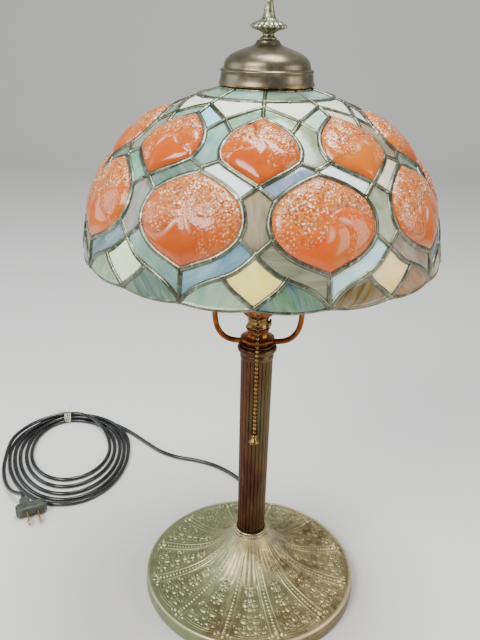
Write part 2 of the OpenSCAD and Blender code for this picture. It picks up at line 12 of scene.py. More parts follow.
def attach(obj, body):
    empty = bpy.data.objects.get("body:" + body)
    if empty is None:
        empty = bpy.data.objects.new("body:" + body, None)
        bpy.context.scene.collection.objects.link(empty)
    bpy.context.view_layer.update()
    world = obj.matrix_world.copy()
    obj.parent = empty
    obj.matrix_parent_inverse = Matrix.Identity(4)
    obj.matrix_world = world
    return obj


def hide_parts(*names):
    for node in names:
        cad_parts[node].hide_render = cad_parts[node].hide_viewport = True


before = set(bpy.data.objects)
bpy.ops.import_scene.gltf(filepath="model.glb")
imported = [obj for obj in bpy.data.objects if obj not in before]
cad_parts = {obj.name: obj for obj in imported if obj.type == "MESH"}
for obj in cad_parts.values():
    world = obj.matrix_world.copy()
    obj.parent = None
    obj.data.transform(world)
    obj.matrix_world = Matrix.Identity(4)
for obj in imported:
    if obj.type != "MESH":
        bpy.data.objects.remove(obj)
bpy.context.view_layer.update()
MM = 0.001
rng = random.Random(41)


# ---------------------------------------------------------------- camera

def make_camera():
    """The photograph's viewpoint: in front, above the shade, looking 23 degrees down."""
    data = bpy.data.cameras.new("camera")
    camera = bpy.data.objects.new("camera", data)
    bpy.context.scene.collection.objects.link(camera)
    data.lens = 39.4
    data.sensor_width = 36
    data.clip_start = 0.01
    camera.location = (-0.001, -0.594, 0.553)
    yaw, pitch, roll = 0.0265, math.radians(90 - 23), 0.025
    camera.matrix_world = (Matrix.Translation(camera.location) @ Matrix.Rotation(yaw, 4, "Z")
                           @ Matrix.Rotation(pitch, 4, "X") @ Matrix.Rotation(roll, 4, "Z"))
    bpy.context.scene.camera = camera


make_camera()


# ---------------------------------------------------------------- mesh helpers

def new_object(name, verts, faces, smooth=True):
    mesh = bpy.data.meshes.new(name)
    mesh.from_pydata([tuple(v) for v in verts], [], [tuple(f) for f in faces])
    mesh.validate()
    mesh.update()
    if smooth:
        mesh.shade_smooth()
    obj = bpy.data.objects.new(name, mesh)
    bpy.context.scene.collection.objects.link(obj)
    return obj


def finish_piece(obj, body, material, slot, *nodes):
    """Puts a piece on its body, gives it its material, and hides the nodes it stands for; slot is not used.
    """
    obj.data.materials.clear()
    obj.data.materials.append(material)
    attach(obj, body)
    if nodes:
        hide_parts(*nodes)
    return obj


class Build:
    """Collects vertices, faces and per-vertex values for one mesh."""

    def __init__(self):
        self.verts, self.faces, self.values = [], [], {}

    def add(self, verts, faces, **values):
        start = len(self.verts)
        self.verts += [tuple(v) for v in verts]
        self.faces += [tuple(i + start for i in f) for f in faces]
        for key, rows in values.items():
            self.values.setdefault(key, []).extend(rows)

    def make(self, name, smooth=True):
        obj = new_object(name, self.verts, self.faces, smooth)
        for key, rows in self.values.items():
            kind, field = {0: ("FLOAT", "value"), 3: ("FLOAT_VECTOR", "vector"),
                           4: ("FLOAT_COLOR", "color")}[np.size(rows[0]) if np.ndim(rows[0]) else 0]
            layer = obj.data.attributes.new(key, kind, "POINT")
            layer.data.foreach_set(field, np.asarray(rows, dtype=np.float32).ravel())
        return obj


def ring_faces(a, b, n, closed=True):
    """Quads between ring a and ring b, each of n vertices."""
    last = n if closed else n - 1
    return [(a + i, a + (i + 1) % n, b + (i + 1) % n, b + i) for i in range(last)]


def lathe(build, profile, segments, centre=(0, 0, 0), wave=None):
    """Turns a profile of (radius, height) round a vertical axis; wave(angle, i) scales the radius."""
    n = len(profile)
    verts = []
    for i, (r, z) in enumerate(profile):
        for k in range(segments):
            a = 2 * math.pi * k / segments
            q = r * (wave(a, i) if wave else 1)
            verts.append((centre[0] + q * math.cos(a), centre[1] + q * math.sin(a), centre[2] + z))
    faces = [f for i in range(n - 1) for f in ring_faces(i * segments, (i + 1) * segments, segments)]
    build.add(verts, faces)


def turned(name, profile, segments, body, material, slot, node, centre=(0, 0, 0)):
    """A whole piece turned from a profile in millimetres."""
    build = Build()
    lathe(build, [(r * MM, z * MM) for r, z in profile], segments, centre)
    return finish_piece(build.make(name), body, material, slot, node)


def circle(radius, height, count):
    """Points of a level circle round the Z axis, given in millimetres."""
    angles = [2 * math.pi * k / count for k in range(count)]
    return [(radius * MM * math.cos(a), radius * MM * math.sin(a), height * MM) for a in angles]


def unit(x):
    """x held between 0 and 1."""
    return min(1.0, max(0.0, x))


def eased(x):
    return x * x * (3 - 2 * x)


def reversed_faces(faces):
    return [tuple(reversed(f)) for f in faces]


def arc(cx, cz, r, start, end, steps):
    """Points of a circular arc in a profile, from start to end degrees."""
    return [(cx + r * math.cos(math.radians(start + (end - start) * i / steps)),
             cz + r * math.sin(math.radians(start + (end - start) * i / steps))) for i in range(steps + 1)]


def catmull(points, steps, closed=False):
    """Smooth curve through given points."""
    pts = [Vector(p) for p in points]
    n = len(pts)
    out = []
    for i in range(n if closed else n - 1):
        if closed:
            p0, p1, p2, p3 = (pts[(i + d) % n] for d in (-1, 0, 1, 2))
        else:
            p0, p1, p2, p3 = (pts[min(max(i + d, 0), n - 1)] for d in (-1, 0, 1, 2))
        for k in range(steps):
            t = k / steps
            out.append(0.5 * (2 * p1 + (p2 - p0) * t + (2 * p0 - 5 * p1 + 4 * p2 - p3) * t * t
                              + (3 * p1 - p0 - 3 * p2 + p3) * t ** 3))
    if not closed:
        out.append(pts[-1])
    return out


def even_points(line, spacing):
    """The same line with points about spacing apart."""
    line = [Vector(p) for p in line]
    lengths = [0.0]
    for a, b in zip(line, line[1:]):
        lengths.append(lengths[-1] + (b - a).length)
    count = max(2, round(lengths[-1] / spacing) + 1)
    out, j = [], 0
    for i in range(count):
        want = lengths[-1] * i / (count - 1)
        while j < len(lengths) - 2 and lengths[j + 1] < want:
            j += 1
        span = lengths[j + 1] - lengths[j] or 1
        out.append(line[j].lerp(line[j + 1], (want - lengths[j]) / span))
    return out


def tube(build, path, radius, sides, ends=True, section=None, up=None):
    """Sweeps a round section along path. section(i, k) scales it; up(i) fixes its second axis."""
    path = [Vector(p) for p in path]
    n = len(path)
    verts, side = [], None
    for i, p in enumerate(path):
        t = (path[min(i + 1, n - 1)] - path[max(i - 1, 0)]).normalized()
        if up:
            side = t.cross(up(i)).normalized()
        elif side is None:
            side = t.cross(Vector((0, 0, 1)) if abs(t.z) < 0.9 else Vector((0, 1, 0))).normalized()
        else:
            side = (side - t * side.dot(t)).normalized()
        other = side.cross(t)
        r = radius(i / (n - 1)) if callable(radius) else radius
        for k in range(sides):
            a = 2 * math.pi * k / sides
            sx, sy = section(i, a) if section else (1, 1)
            verts.append(p + side * (r * sx * math.cos(a)) + other * (r * sy * math.sin(a)))
    faces = [f for i in range(n - 1) for f in ring_faces(i * sides, (i + 1) * sides, sides)]
    if ends:
        verts += [path[0], path[-1]]
        faces += [((k + 1) % sides, k, n * sides) for k in range(sides)]
        last = (n - 1) * sides
        faces += [(last + k, last + (k + 1) % sides, n * sides + 1) for k in range(sides)]
    build.add(verts, faces)


def ball(build, centre, radius, rows=8, segments=14, squash=1.0, axis=None):
    """A sphere, or one flattened along axis."""
    axis = Vector(axis).normalized() if axis is not None else Vector((0, 0, 1))
    turn = Vector((0, 0, 1)).rotation_difference(axis).to_matrix()
    verts = [Vector(centre) + turn @ Vector((0, 0, radius * squash))]
    for i in range(1, rows):
        a = math.pi * i / rows
        for k in range(segments):
            b = 2 * math.pi * k / segments
            local = Vector((radius * math.sin(a) * math.cos(b), radius * math.sin(a) * math.sin(b),
                            radius * squash * math.cos(a)))
            verts.append(Vector(centre) + turn @ local)
    verts.append(Vector(centre) - turn @ Vector((0, 0, radius * squash)))
    faces = [(0, 1 + k, 1 + (k + 1) % segments) for k in range(segments)]
    for i in range(rows - 2):
        a, b = 1 + i * segments, 1 + (i + 1) * segments
        faces += [(a + k, b + k, b + (k + 1) % segments, a + (k + 1) % segments) for k in range(segments)]
    last, bottom = 1 + (rows - 2) * segments, len(verts) - 1
    faces += [(last + (k + 1) % segments, last + k, bottom) for k in range(segments)]
    build.add(verts, faces)


# ---------------------------------------------------------------- material helpers

def rgb(red, green, blue):
    """A colour given as 0-255 screen values, as the linear colour that a shader takes."""
    def lin(c):
        c /= 255
        return c / 12.92 if c <= 0.04045 else ((c + 0.055) / 1.055) ** 2.4
    return (lin(red), lin(green), lin(blue), 1.0)


class Shader:
    """A node material with short calls for the nodes used here."""

    def __init__(self, name, **settings):
        self.material = bpy.data.materials.new(name)
        self.material.use_nodes = True
        self.tree = self.material.node_tree
        self.bsdf = self.tree.nodes["Principled BSDF"]
        self.coord = self.tree.nodes.new("ShaderNodeTexCoord").outputs["Object"]
        for key, value in settings.items():
            self.bsdf.inputs[key.replace("_", " ")].default_value = value

    def put(self, socket, value):
        if isinstance(value, bpy.types.NodeSocket):
            self.tree.links.new(value, socket)
        else:
            socket.default_value = value

    def scaled(self, factors, source=None):
        node = self.tree.nodes.new("ShaderNodeMapping")
        self.put(node.inputs["Vector"], source or self.coord)
        node.inputs["Scale"].default_value = factors
        return node.outputs["Vector"]

    def noise(self, scale, detail=3, rough=0.5, distortion=0.0, source=None):
        node = self.tree.nodes.new("ShaderNodeTexNoise")
        self.put(node.inputs["Vector"], source or self.coord)
        node.inputs["Scale"].default_value = scale
        node.inputs["Detail"].default_value = detail
        node.inputs["Roughness"].default_value = rough
        node.inputs["Distortion"].default_value = distortion
        return node.outputs["Fac"]

    def cells(self, scale):
        node = self.tree.nodes.new("ShaderNodeTexVoronoi")
        self.put(node.inputs["Vector"], self.coord)
        node.inputs["Scale"].default_value = scale
        return node.outputs["Distance"]

    def ramp(self, fac, *stops):
        node = self.tree.nodes.new("ShaderNodeValToRGB")
        self.put(node.inputs["Fac"], fac)
        ramp = node.color_ramp
        while len(ramp.elements) < len(stops):
            ramp.elements.new(0.5)
        for element, (place, colour) in zip(ramp.elements, stops):
            element.position = place
            element.color = colour if hasattr(colour, "__len__") else (colour, colour, colour, 1)
        return node.outputs["Color"]

    def mix(self, fac, a, b, mode="MIX"):
        node = self.tree.nodes.new("ShaderNodeMix")
        node.data_type = "RGBA"
        node.blend_type = mode
        self.put(node.inputs[0], fac)
        self.put(node.inputs[6], a)
        self.put(node.inputs[7], b)
        return node.outputs[2]

    def math(self, operation, a, b=0.0):
        node = self.tree.nodes.new("ShaderNodeMath")
        node.operation = operation
        self.put(node.inputs[0], a)
        self.put(node.inputs[1], b)
        return node.outputs[0]

    def attribute(self, name, output="Fac"):
        node = self.tree.nodes.new("ShaderNodeAttribute")
        node.attribute_name = name
        return node.outputs[output]

    def bump(self, height, strength, distance):
        node = self.tree.nodes.new("ShaderNodeBump")
        node.inputs["Strength"].default_value = strength
        node.inputs["Distance"].default_value = distance
        self.put(node.inputs["Height"], height)
        return node.outputs["Normal"]

    def out(self, **sockets):
        for key, value in sockets.items():
            self.put(self.bsdf.inputs[key.replace("_", " ")], value)
        return self.material


def opal_material():
    """Rolled opal glass: two tints in streaks along the sheet, milky wisps and a rippled gloss."""
    s = Shader("opal_glass", Metallic=0.0, IOR=1.46, Coat_Weight=0.25, Coat_Roughness=0.05)
    place = s.attribute("sheet", "Vector")
    streak = s.noise(70, 4, 0.55, 1.2, s.scaled((0.22, 1.0, 1.0), source=place))
    wisp = s.noise(28, 3, 0.5, 2.2, s.scaled((0.45, 1.0, 1.0), source=place))
    fine = s.noise(260, 3, 0.6, 0.6, s.scaled((0.15, 1.0, 1.0), source=place))
    body = s.mix(s.ramp(streak, (0.36, 0.0), (0.64, 1.0)), s.attribute("tint_a", "Color"),
                 s.attribute("tint_b", "Color"))
    body = s.mix(s.ramp(wisp, (0.5, 0.0), (0.78, 0.55)), body, s.attribute("tint_c", "Color"))
    body = s.mix(s.ramp(fine, (0.35, 0.0), (0.75, 0.16)), body, (0.92, 0.94, 0.92, 1))
    dirt = s.ramp(s.noise(9, 5, 0.6), (0.35, 0.82), (0.6, 1.0))
    body = s.mix(1.0, body, dirt, "MULTIPLY")
    ripple = s.noise(95, 2, 0.4, 0.4, s.scaled((0.4, 1.0, 1.0), source=place))
    return s.out(Base_Color=body, Roughness=s.ramp(fine, (0.3, 0.10), (0.8, 0.26)),
                 Normal=s.bump(ripple, 0.22, 0.0009))


def amber_material():
    """Pressed amber glass: deep where smooth, paler where hammered, with painted glints over the hammered
    parts, painted highlights along its ridges and painted shade where its relief is low.
    """
    s = Shader("amber_glass", Metallic=0.0, IOR=1.45, Coat_Weight=0.35, Coat_Roughness=0.05)
    hammered = s.attribute("hammered")
    cloud = s.noise(34, 4, 0.6, 0.8)
    deep = s.mix(s.ramp(cloud, (0.35, 0.0), (0.65, 1.0)), s.attribute("tint_a", "Color"),
                 s.attribute("tint_b", "Color"))
    pale = s.mix(s.ramp(cloud, (0.4, 0.0), (0.7, 1.0)), rgb(206, 120, 34), rgb(194, 116, 60))
    body = s.mix(s.ramp(hammered, (0.2, 0.0), (0.9, 0.85)), deep, pale)
    pits = s.noise(420, 2, 0.5)
    body = s.mix(s.math("MULTIPLY", s.ramp(pits, (0.40, 0.7), (0.54, 0.0)), hammered), body, rgb(128, 46, 6))
    # Painted highlights: tiny pale dots over the hammered parts stand in for glints of light off the dimples.
    dots = s.ramp(s.cells(480), (0.20, 1.0), (0.42, 0.0))
    cluster = s.ramp(s.noise(130, 3, 0.6), (0.44, 0.05), (0.60, 1.0))
    painted_glint = s.math("MULTIPLY", s.math("MULTIPLY", dots, cluster), s.ramp(hammered, (0.15, 0.0), (0.7, 0.95)))
    body = s.mix(painted_glint, body, rgb(255, 244, 226))
    # Painted shade: darker amber where the relief is low, in the ground between the lobes and round the
    # tile's edge by the seams.
    body = s.mix(s.ramp(s.attribute("relief"), (0.0, 0.6), (0.45, 0.0)), body, rgb(122, 40, 2))
    # Painted highlight: pale pink along the ridges, where light catches them.
    body = s.mix(s.ramp(s.attribute("ridge"), (0.15, 0.0), (0.8, 0.7)), body, rgb(240, 190, 168))
    grain = s.math("MULTIPLY", s.cells(470), hammered)
    return s.out(Base_Color=body, Roughness=s.ramp(cloud, (0.3, 0.10), (0.7, 0.22)),
                 Normal=s.bump(grain, 0.6, 0.0012))


def lead_material():
    """Soldered seams: gray-green patina, darker in some patches and worn bright in others."""
    s = Shader("lead_seam", Metallic=0.9)
    blotch = s.noise(60, 5, 0.65)
    worn = s.noise(190, 4, 0.6, 0.5)
    body = s.mix(s.ramp(blotch, (0.36, 0.0), (0.6, 1.0)), rgb(74, 75, 62), rgb(122, 124, 108))
    body = s.mix(s.ramp(worn, (0.55, 0.0), (0.74, 0.7)), body, rgb(196, 202, 188))
    return s.out(Base_Color=body, Roughness=s.ramp(blotch, (0.3, 0.22), (0.7, 0.42)),
                 Normal=s.bump(s.noise(380, 3, 0.6), 0.2, 0.0005))


def patina_material(name, dark, mid, bright, metallic=0.85, rough=(0.28, 0.5), grain=140, relief=False,
                    tint=None, bump=0.2, stretch=(1, 1, 1), painted_side_light=0.0):
    """Aged bronze or brass: dark in the hollows, brighter where hands and cloths rub it. With
    painted_side_light set, the tint also grows towards one side along x: painted coloured light from that
    side.
    """
    s = Shader(name, Metallic=metallic)
    where = s.scaled(stretch)
    cloud = s.noise(38, 5, 0.6, 0.6, where)
    fine = s.noise(grain, 4, 0.6, 0.2, where)
    body = s.mix(s.ramp(cloud, (0.32, 0.0), (0.66, 1.0)), dark, mid)
    body = s.mix(s.ramp(fine, (0.5, 0.0), (0.74, 0.75)), body, bright)
    if relief:
        body = s.mix(s.ramp(s.attribute("relief"), (0.30, 0.8), (0.52, 0.0)), body, dark)
        body = s.mix(s.ramp(s.attribute("relief"), (0.55, 0.0), (0.95, 0.8)), body, bright)
    if tint:
        # Tint in noise patches of patina; with painted_side_light set it also grows towards one side along x,
        # painted coloured light from that side.
        side = s.tree.nodes.new("ShaderNodeSeparateXYZ")
        s.put(side.inputs[0], s.coord)
        patina_and_side_light = s.math("SUBTRACT", s.noise(11, 3, 0.5), s.math("MULTIPLY", side.outputs[0], painted_side_light))
        body = s.mix(s.ramp(patina_and_side_light, (0.42, 0.0), (0.64, 0.6)), body, tint)
    return s.out(Base_Color=body, Roughness=s.ramp(cloud, (0.3, rough[0]), (0.7, rough[1])),
                 Normal=s.bump(fine, bump, 0.0005))


def plain_material(name, low, high, scale, rough, metallic, bump):
    """A simple surface with fine mottling."""
    s = Shader(name, Metallic=metallic)
    grain = s.noise(scale, 5, 0.6, 0.1, s.scaled((1, 1, 1)))
    return s.out(Base_Color=s.mix(s.ramp(grain, (0.35, 0.0), (0.65, 1.0)), low, high),
                 Roughness=s.ramp(grain, (0.3, rough[0]), (0.7, rough[1])),
                 Normal=s.bump(grain, bump, 0.0005))


def felt_material():
    s = Shader("felt", Metallic=0.0, Sheen_Weight=0.4)
    fibre = s.noise(900, 4, 0.7, 2.0)
    return s.out(Base_Color=s.mix(fibre, rgb(44, 56, 36), rgb(84, 98, 66)),
                 Roughness=s.ramp(fibre, (0, 0.85), (1, 1.0)), Normal=s.bump(fibre, 0.6, 0.0008))


def floor_material():
    s = Shader("floor", Metallic=0.0)
    cloud = s.noise(3, 3)
    return s.out(Base_Color=s.mix(cloud, (0.72, 0.71, 0.69, 1), (0.76, 0.75, 0.73, 1)),
                 Roughness=s.ramp(cloud, (0, 0.55), (1, 0.65)))


# ---------------------------------------------------------------- cord, its coil, the plug and the tie

COIL_MID = Vector((-0.250, 0.203, 0))
COIL_TURN = 14.0
CORD_R = 0.0025
PLUG_AT = Vector((-0.265, 0.0855, 0.0089))
PLUG_TURN = Matrix.Rotation(math.radians(28), 3, "Z") @ Matrix.Rotation(math.radians(12), 3, "X")


def plug_place(x, y, z):
    """A point of the plug, given about its middle in millimetres."""
    return PLUG_AT + PLUG_TURN @ Vector((x * MM, y * MM, z * MM))


def coil_place(x, y, z):
    """A point of the coil, given about its middle in millimetres."""
    return COIL_MID + Matrix.Rotation(math.radians(COIL_TURN), 3, "Z") @ Vector((x * MM, y * MM, z * MM))


def coil_points():
    """Loose nested turns: packed two deep at the back, where the tie is, and spread at the front."""
    rights = [0, 81, 75, 69, 62, 55]
    backs = [107, 104.3, 101.6, 98.9, 96.2, 102]
    lefts = [79, 72, 65, 57, 50, 83]
    fronts = [102, 93, 81, 66, 51, 0]
    back_heights = [2.6, 7.2, 2.6, 7.2, 2.6, 11.8]
    mid, steps = 20, 5
    out = []
    for k in range(6):
        quarters = [(rights[k], backs[k] - mid), (lefts[k], backs[k] - mid), (lefts[k], fronts[k] + mid),
                    (rights[(k + 1) % 6], fronts[k] + mid)]
        for q in range(1 if k == 0 else 0, 2 if k == 5 else 4):
            for step in range(steps):
                w = math.radians(90 * (q + step / steps))
                lift = max(0.0, math.sin(w)) ** 1.5
                low = 7.2 if k == 5 and q == 1 else 2.6
                a, b = quarters[q]
                height = low + (back_heights[k] - low) * lift
                out.append(coil_place(a * math.cos(w), mid + b * math.sin(w), height))
    return out


def cord_line():
    route = [(0, 98, 6.5), (0, 112, 6.5), (0, 128, 6.3), (-2, 142, 4), (-12, 162, 2.6), (-30, 182, 2.6),
             (-52, 198, 2.6), (-78, 208, 2.6), (-104, 214, 2.6), (-128, 226, 2.6), (-150, 245, 2.6),
             (-169, 263, 2.6), (-186, 278, 2.6)]
    lead = [Vector(p) * MM for p in route]
    join = [coil_place(68.8, 70.5, 2.6), coil_place(50, 90, 2.6), coil_place(26, 103, 2.6)]
    turns = coil_points()
    tail = [coil_place(-83.5, 0, 7.2), coil_place(-82.5, -28, 5.0), coil_place(-77, -52, 4.6),
            coil_place(-68, -72, 8.0), plug_place(-7, 25, 0.2), plug_place(-6, 19, 0),
            plug_place(-6, 13.6, 0)]
    line = catmull(lead + join + turns + tail, 6)
    return even_points(line, 0.010)


def smooth_curve(name, points, radius):
    """A round cord along points, as one open Bezier curve."""
    data = bpy.data.curves.new(name, "CURVE")
    data.dimensions = "3D"
    data.bevel_depth = radius
    data.bevel_resolution = 5
    data.resolution_u = 4
    data.use_fill_caps = True
    spline = data.splines.new("BEZIER")
    spline.bezier_points.add(len(points) - 1)
    for knot, p in zip(spline.bezier_points, points):
        knot.co = p
        knot.handle_left_type = knot.handle_right_type = "AUTO"
    obj = bpy.data.objects.new(name, data)
    bpy.context.scene.collection.objects.link(obj)
    return obj


def rounded_box(build, centre, size, turn, bevel):
    """A block with rounded edges: superellipse rings along its local x axis, turned by turn."""
    n, rows = 40, 14
    verts = []
    for i in range(rows + 1):
        t = i / rows
        x = (t - 0.5) * size[0]
        end = min(t, 1 - t) * size[0]
        pull = 1.0 if end >= bevel else math.sqrt(max(0.0, 1 - (1 - end / bevel) ** 2))
        for k in range(n):
            a = 2 * math.pi * k / n
            c, s = math.cos(a), math.sin(a)
            y = math.copysign(abs(c) ** 0.35, c) * (size[1] / 2 - bevel * (1 - pull))
            z = math.copysign(abs(s) ** 0.35, s) * (size[2] / 2 - bevel * (1 - pull))
            verts.append(Vector(centre) + turn @ Vector((x, y, z)))
    faces = [f for i in range(rows) for f in ring_faces(i * n, (i + 1) * n, n)]
    faces.append(tuple(reversed(range(n))))
    faces.append(tuple(rows * n + k for k in range(n)))
    build.add(verts, faces)


def make_cord():
    line = cord_line()
    length = sum((b - a).length for a, b in zip(line, line[1:]))
    cord = smooth_curve("mains_cord", line, CORD_R)
    black = Shader("cable", Metallic=0.0, Coat_Weight=0.5, Coat_Roughness=0.12, IOR=1.5)
    grain = black.noise(160, 4, 0.6)
    body = black.mix(black.ramp(grain, (0.35, 0.0), (0.7, 1.0)), rgb(8, 9, 9), rgb(22, 24, 23))
    material = black.out(Base_Color=body, Roughness=black.ramp(grain, (0.3, 0.2), (0.7, 0.38)),
                         Normal=black.bump(grain, 0.12, 0.0004))
    finish_piece(cord, "stand", material, "cable", "cord", "cord_coil")
    return cord, line, length


cord, CORD_LINE, CORD_LENGTH = make_cord()


def make_plug():
    """Flat two-blade plug: a wide bar with a block behind it where the cord goes in."""
    build = Build()
    rounded_box(build, plug_place(0, -0.5, 0), (0.0355, 0.0128, 0.0148), PLUG_TURN, 0.003)
    rounded_box(build, plug_place(-6, 8.6, 0), (0.0118, 0.0120, 0.0126), PLUG_TURN, 0.002)
    for side in (-1, 1):
        for row in range(3):
            place = plug_place(side * 16.6, -3.6 + row * 3.1, 0)
            rounded_box(build, place, (0.0030, 0.0014, 0.0132), PLUG_TURN, 0.0006)
    tube(build, [plug_place(-6, 13.4, 0), plug_place(-6, 15.4, 0), plug_place(-6.2, 18.2, 0)],
         lambda t: 0.0040 - 0.0009 * t, 20)
    body = build.make("plug_shell")
    s = Shader("plug_bakelite", Metallic=0.0, IOR=1.5)
    grain = s.noise(120, 5, 0.6)
    wear = s.noise(420, 3, 0.6)
    tint = s.mix(s.ramp(grain, (0.35, 0.0), (0.65, 1.0)), rgb(44, 52, 45), rgb(70, 77, 66))
    tint = s.mix(s.ramp(wear, (0.55, 0.0), (0.75, 0.5)), tint, rgb(128, 132, 116))
    material = s.out(Base_Color=tint, Roughness=s.ramp(grain, (0.3, 0.35), (0.7, 0.55)),
                     Normal=s.bump(wear, 0.25, 0.0004))
    finish_piece(body, "stand", material, "plug", "plug_body")

    blades = Build()
    for side in (-1, 1):
        x = side * 6.35
        outline = [(-4, -3.1), (-4, 3.1), (-22.2, 3.1), (-23.8, 2.5), (-24.8, 1.3), (-25, 0),
                   (-24.8, -1.3), (-23.8, -2.5), (-22.2, -3.1)]
        n = len(outline)
        verts = []
        for dx, pull in ((-0.75, 0.93), (-0.6, 1.0), (0.6, 1.0), (0.75, 0.93)):
            verts += [plug_place(x + dx, -14 + (y + 14) * pull, z * pull) for y, z in outline]
        faces = [f for i in range(3) for f in ring_faces(i * n, (i + 1) * n, n)]
        faces += [tuple(range(n)), tuple(reversed(range(3 * n, 4 * n)))]
        blades.add(verts, faces)
        for dx in (-0.78, 0.78):
            ring = [plug_place(x + dx, -21.4 + 1.5 * math.cos(a), 1.5 * math.sin(a))
                    for a in (2 * math.pi * i / 16 for i in range(17))]
            tube(blades, ring, 0.00018, 6, ends=False)
    obj = blades.make("plug_prongs", smooth=False)
    brass = patina_material("plug_brass", rgb(150, 110, 60), rgb(205, 165, 100), rgb(240, 214, 160),
                            metallic=1.0, rough=(0.22, 0.4))
    finish_piece(obj, "stand", brass, "brass", "plug_blades")
    return body, obj


def make_tie():
    """A paper-covered wire twisted round the back of the coil, with frayed ends."""
    build = Build()
    across = coil_place(0, 1, 0) - coil_place(0, 0, 0)
    across.normalize()
    along = Vector((across.y, -across.x, 0))
    for row, shift in enumerate((-3.2, -1.0, 1.4, 3.4)):
        centre = coil_place(-3, 101.6, 6.4) + along * (shift * MM)
        ring = []
        for i in range(37):
            a = 2 * math.pi * i / 36
            wob = 1 + 0.04 * math.sin(3 * a + row)
            ring.append(centre + across * (9.3 * MM * wob * math.cos(a))
                        + Vector((0, 0, 6.9 * MM * wob * math.sin(a)))
                        + along * (0.5 * MM * math.sin(2 * a + row)))
        for p in ring:
            p.z = max(p.z, 0.0007)
        tube(build, ring, 0.0007, 8, ends=False)
    top = coil_place(-3, 104, 13.4)
    twist = []
    for strand in (0, 1):
        path = []
        for i in range(30):
            t = i / 29
            a = 9 * t + math.pi * strand
            path.append(top + along * ((-9 * t) * MM) + across * (0.8 * MM * math.cos(a) + 3 * t * MM)
                        + Vector((0, 0, 0.8 * MM * math.sin(a) - 1.5 * t * t * MM)))
        twist.append(path)
        tube(build, path, 0.0006, 8)
    ends = ((-14, 8, 3.5), (-18, 4, 1.0), (-13, 13, 4.5), (-16, -3, 2.0), (8, 10, 4.0), (13, 7, 1.5),
            (5, 14, 3.0))
    for e, (da, dc, dz) in enumerate(ends):
        start = twist[e % 2][-1] if da < 0 else top
        tip = top + along * (da * MM) + across * (dc * MM) + Vector((0, 0, dz * MM))
        bend = start.lerp(tip, 0.5) + Vector((0, 0, 0.0018 + 0.0004 * (e % 3)))
        tube(build, catmull([start, bend, tip], 6), lambda t: 0.00048 - 0.0002 * t, 6)
    obj = build.make("coil_tie")
    material = plain_material("tie_paper", rgb(196, 188, 168), rgb(236, 230, 214), 500, (0.35, 0.6), 0.1, 0.4)
    return finish_piece(obj, "stand", material, "steel")


plug_shell, plug_prongs = make_plug()
coil_tie = make_tie()


# ---------------------------------------------------------------- the shade's pattern

HALF_PITCH = math.radians(20)
PATTERN_TURN = math.radians(-1.5)
REPEATS = 9


def dome_r(lat):
    return 0.1523 * math.cos(math.radians(lat)) ** 1.16


def dome_z(lat):
    return 0.3599 + 0.1507 * math.sin(math.radians(lat)) ** 0.8306


def dome_frame(turn, lat):
    """Point of the dome's surface and its outward normal, at a place [turn, latitude] of the pattern."""
    a = PATTERN_TURN + turn * HALF_PITCH
    r, z = dome_r(lat), dome_z(lat)
    dr, dz = dome_r(lat - 0.3) - dome_r(lat + 0.3), dome_z(lat + 0.3) - dome_z(lat - 0.3)
    normal = Vector((dz * math.sin(a), -dz * math.cos(a), dr)).normalized()
    return Vector((r * math.sin(a), -r * math.cos(a), z)), normal


ARC_LATS = np.linspace(0.0, 90.0, 361)
ARC_LENGTHS = np.concatenate([[0], np.cumsum([math.hypot(dome_r(b) - dome_r(a), dome_z(b) - dome_z(a))
                                             for a, b in zip(ARC_LATS, ARC_LATS[1:])])])

LINES = {
    "top_edge": [(0, 73.5), (0.5, 73.5), (1, 73.5)],
    "top_joint": [(0, 73.5), (0, 65.5)],
    "under_top": [(0, 65.5), (0.5, 65.5), (1, 65.5)],
    "cream_joint": [(0, 65.5), (0, 62.3)],
    "cream_low": [(0, 62.3), (0.35, 60.4), (0.7, 58), (1, 55.5)],
    "border_joint": [(0, 62.3), (0, 56.8)],
    "tile_brow": [(0, 56.8), (0.22, 55.2), (0.46, 53), (0.66, 50.2)],
    "waist_roof": [(1, 55.5), (0.66, 50.2)],
    "waist_side": [(0.66, 50.2), (0.76, 47), (0.78, 43.6), (0.71, 40.3)],
    "waist_foot": [(0.71, 40.3), (1, 38)],
    "brow_joint": [(1, 38), (1, 36.4)],
    "tile_chin": [(0.71, 40.3), (0.5, 38), (0.25, 35.6), (0, 33)],
    "low_brow": [(1, 36.4), (0.75, 34.9), (0.48, 32.3), (0.27, 29.2)],
    "low_roof": [(0, 33), (0.27, 29.2)],
    "low_side": [(0.27, 29.2), (0.2, 26.2), (0.18, 22.6), (0.23, 19.2)],
    "low_foot": [(0.23, 19.2), (0, 15.3)],
    "low_chin": [(0.23, 19.2), (0.36, 16.4), (0.56, 13.9), (0.8, 12), (1, 10.4)],
    "border_low": [(0, 15.3), (0.13, 13), (0.27, 11), (0.42, 9.6)],
    "corner_top": [(0.42, 9.6), (0.62, 8.2), (0.82, 6.2), (1, 3.2)],
    "diamond_low": [(0.42, 9.6), (0.3, 7.2), (0.15, 5.1), (0, 3.2)],
    "tail_joint": [(1, 10.4), (1, 6.8), (1, 3.2)],
    "rim_edge": [(0, 3.2), (0.25, 2.8), (0.5, 2.65), (0.75, 2.8), (1, 3.2)],
}
CELLS = {
    "top_strip": (1, ["-top_edge", "top_joint", "under_top"]),
    "cream_upper": (1, ["-under_top", "cream_joint", "cream_low"]),
    "border_upper": (None, ["cream_low", "waist_roof", "-tile_brow", "-border_joint"]),
    "waist_upper": (1, ["waist_roof", "waist_side", "waist_foot"]),
    "upper_tile": (0, ["tile_brow", "waist_side", "tile_chin"]),
    "border_middle": (None, ["tile_chin", "low_roof", "-low_brow", "-brow_joint", "-waist_foot"]),
    "waist_lower": (0, ["low_roof", "low_side", "low_foot"]),
    "lower_tile": (1, ["low_brow", "low_side", "low_chin"]),
    "border_lower": (None, ["low_foot", "border_low", "corner_top", "-tail_joint", "-low_chin"]),
    "diamond": (0, ["border_low", "diamond_low"]),
    "rim_corner": (None, ["-diamond_low", "corner_top", "-rim_edge"]),
}


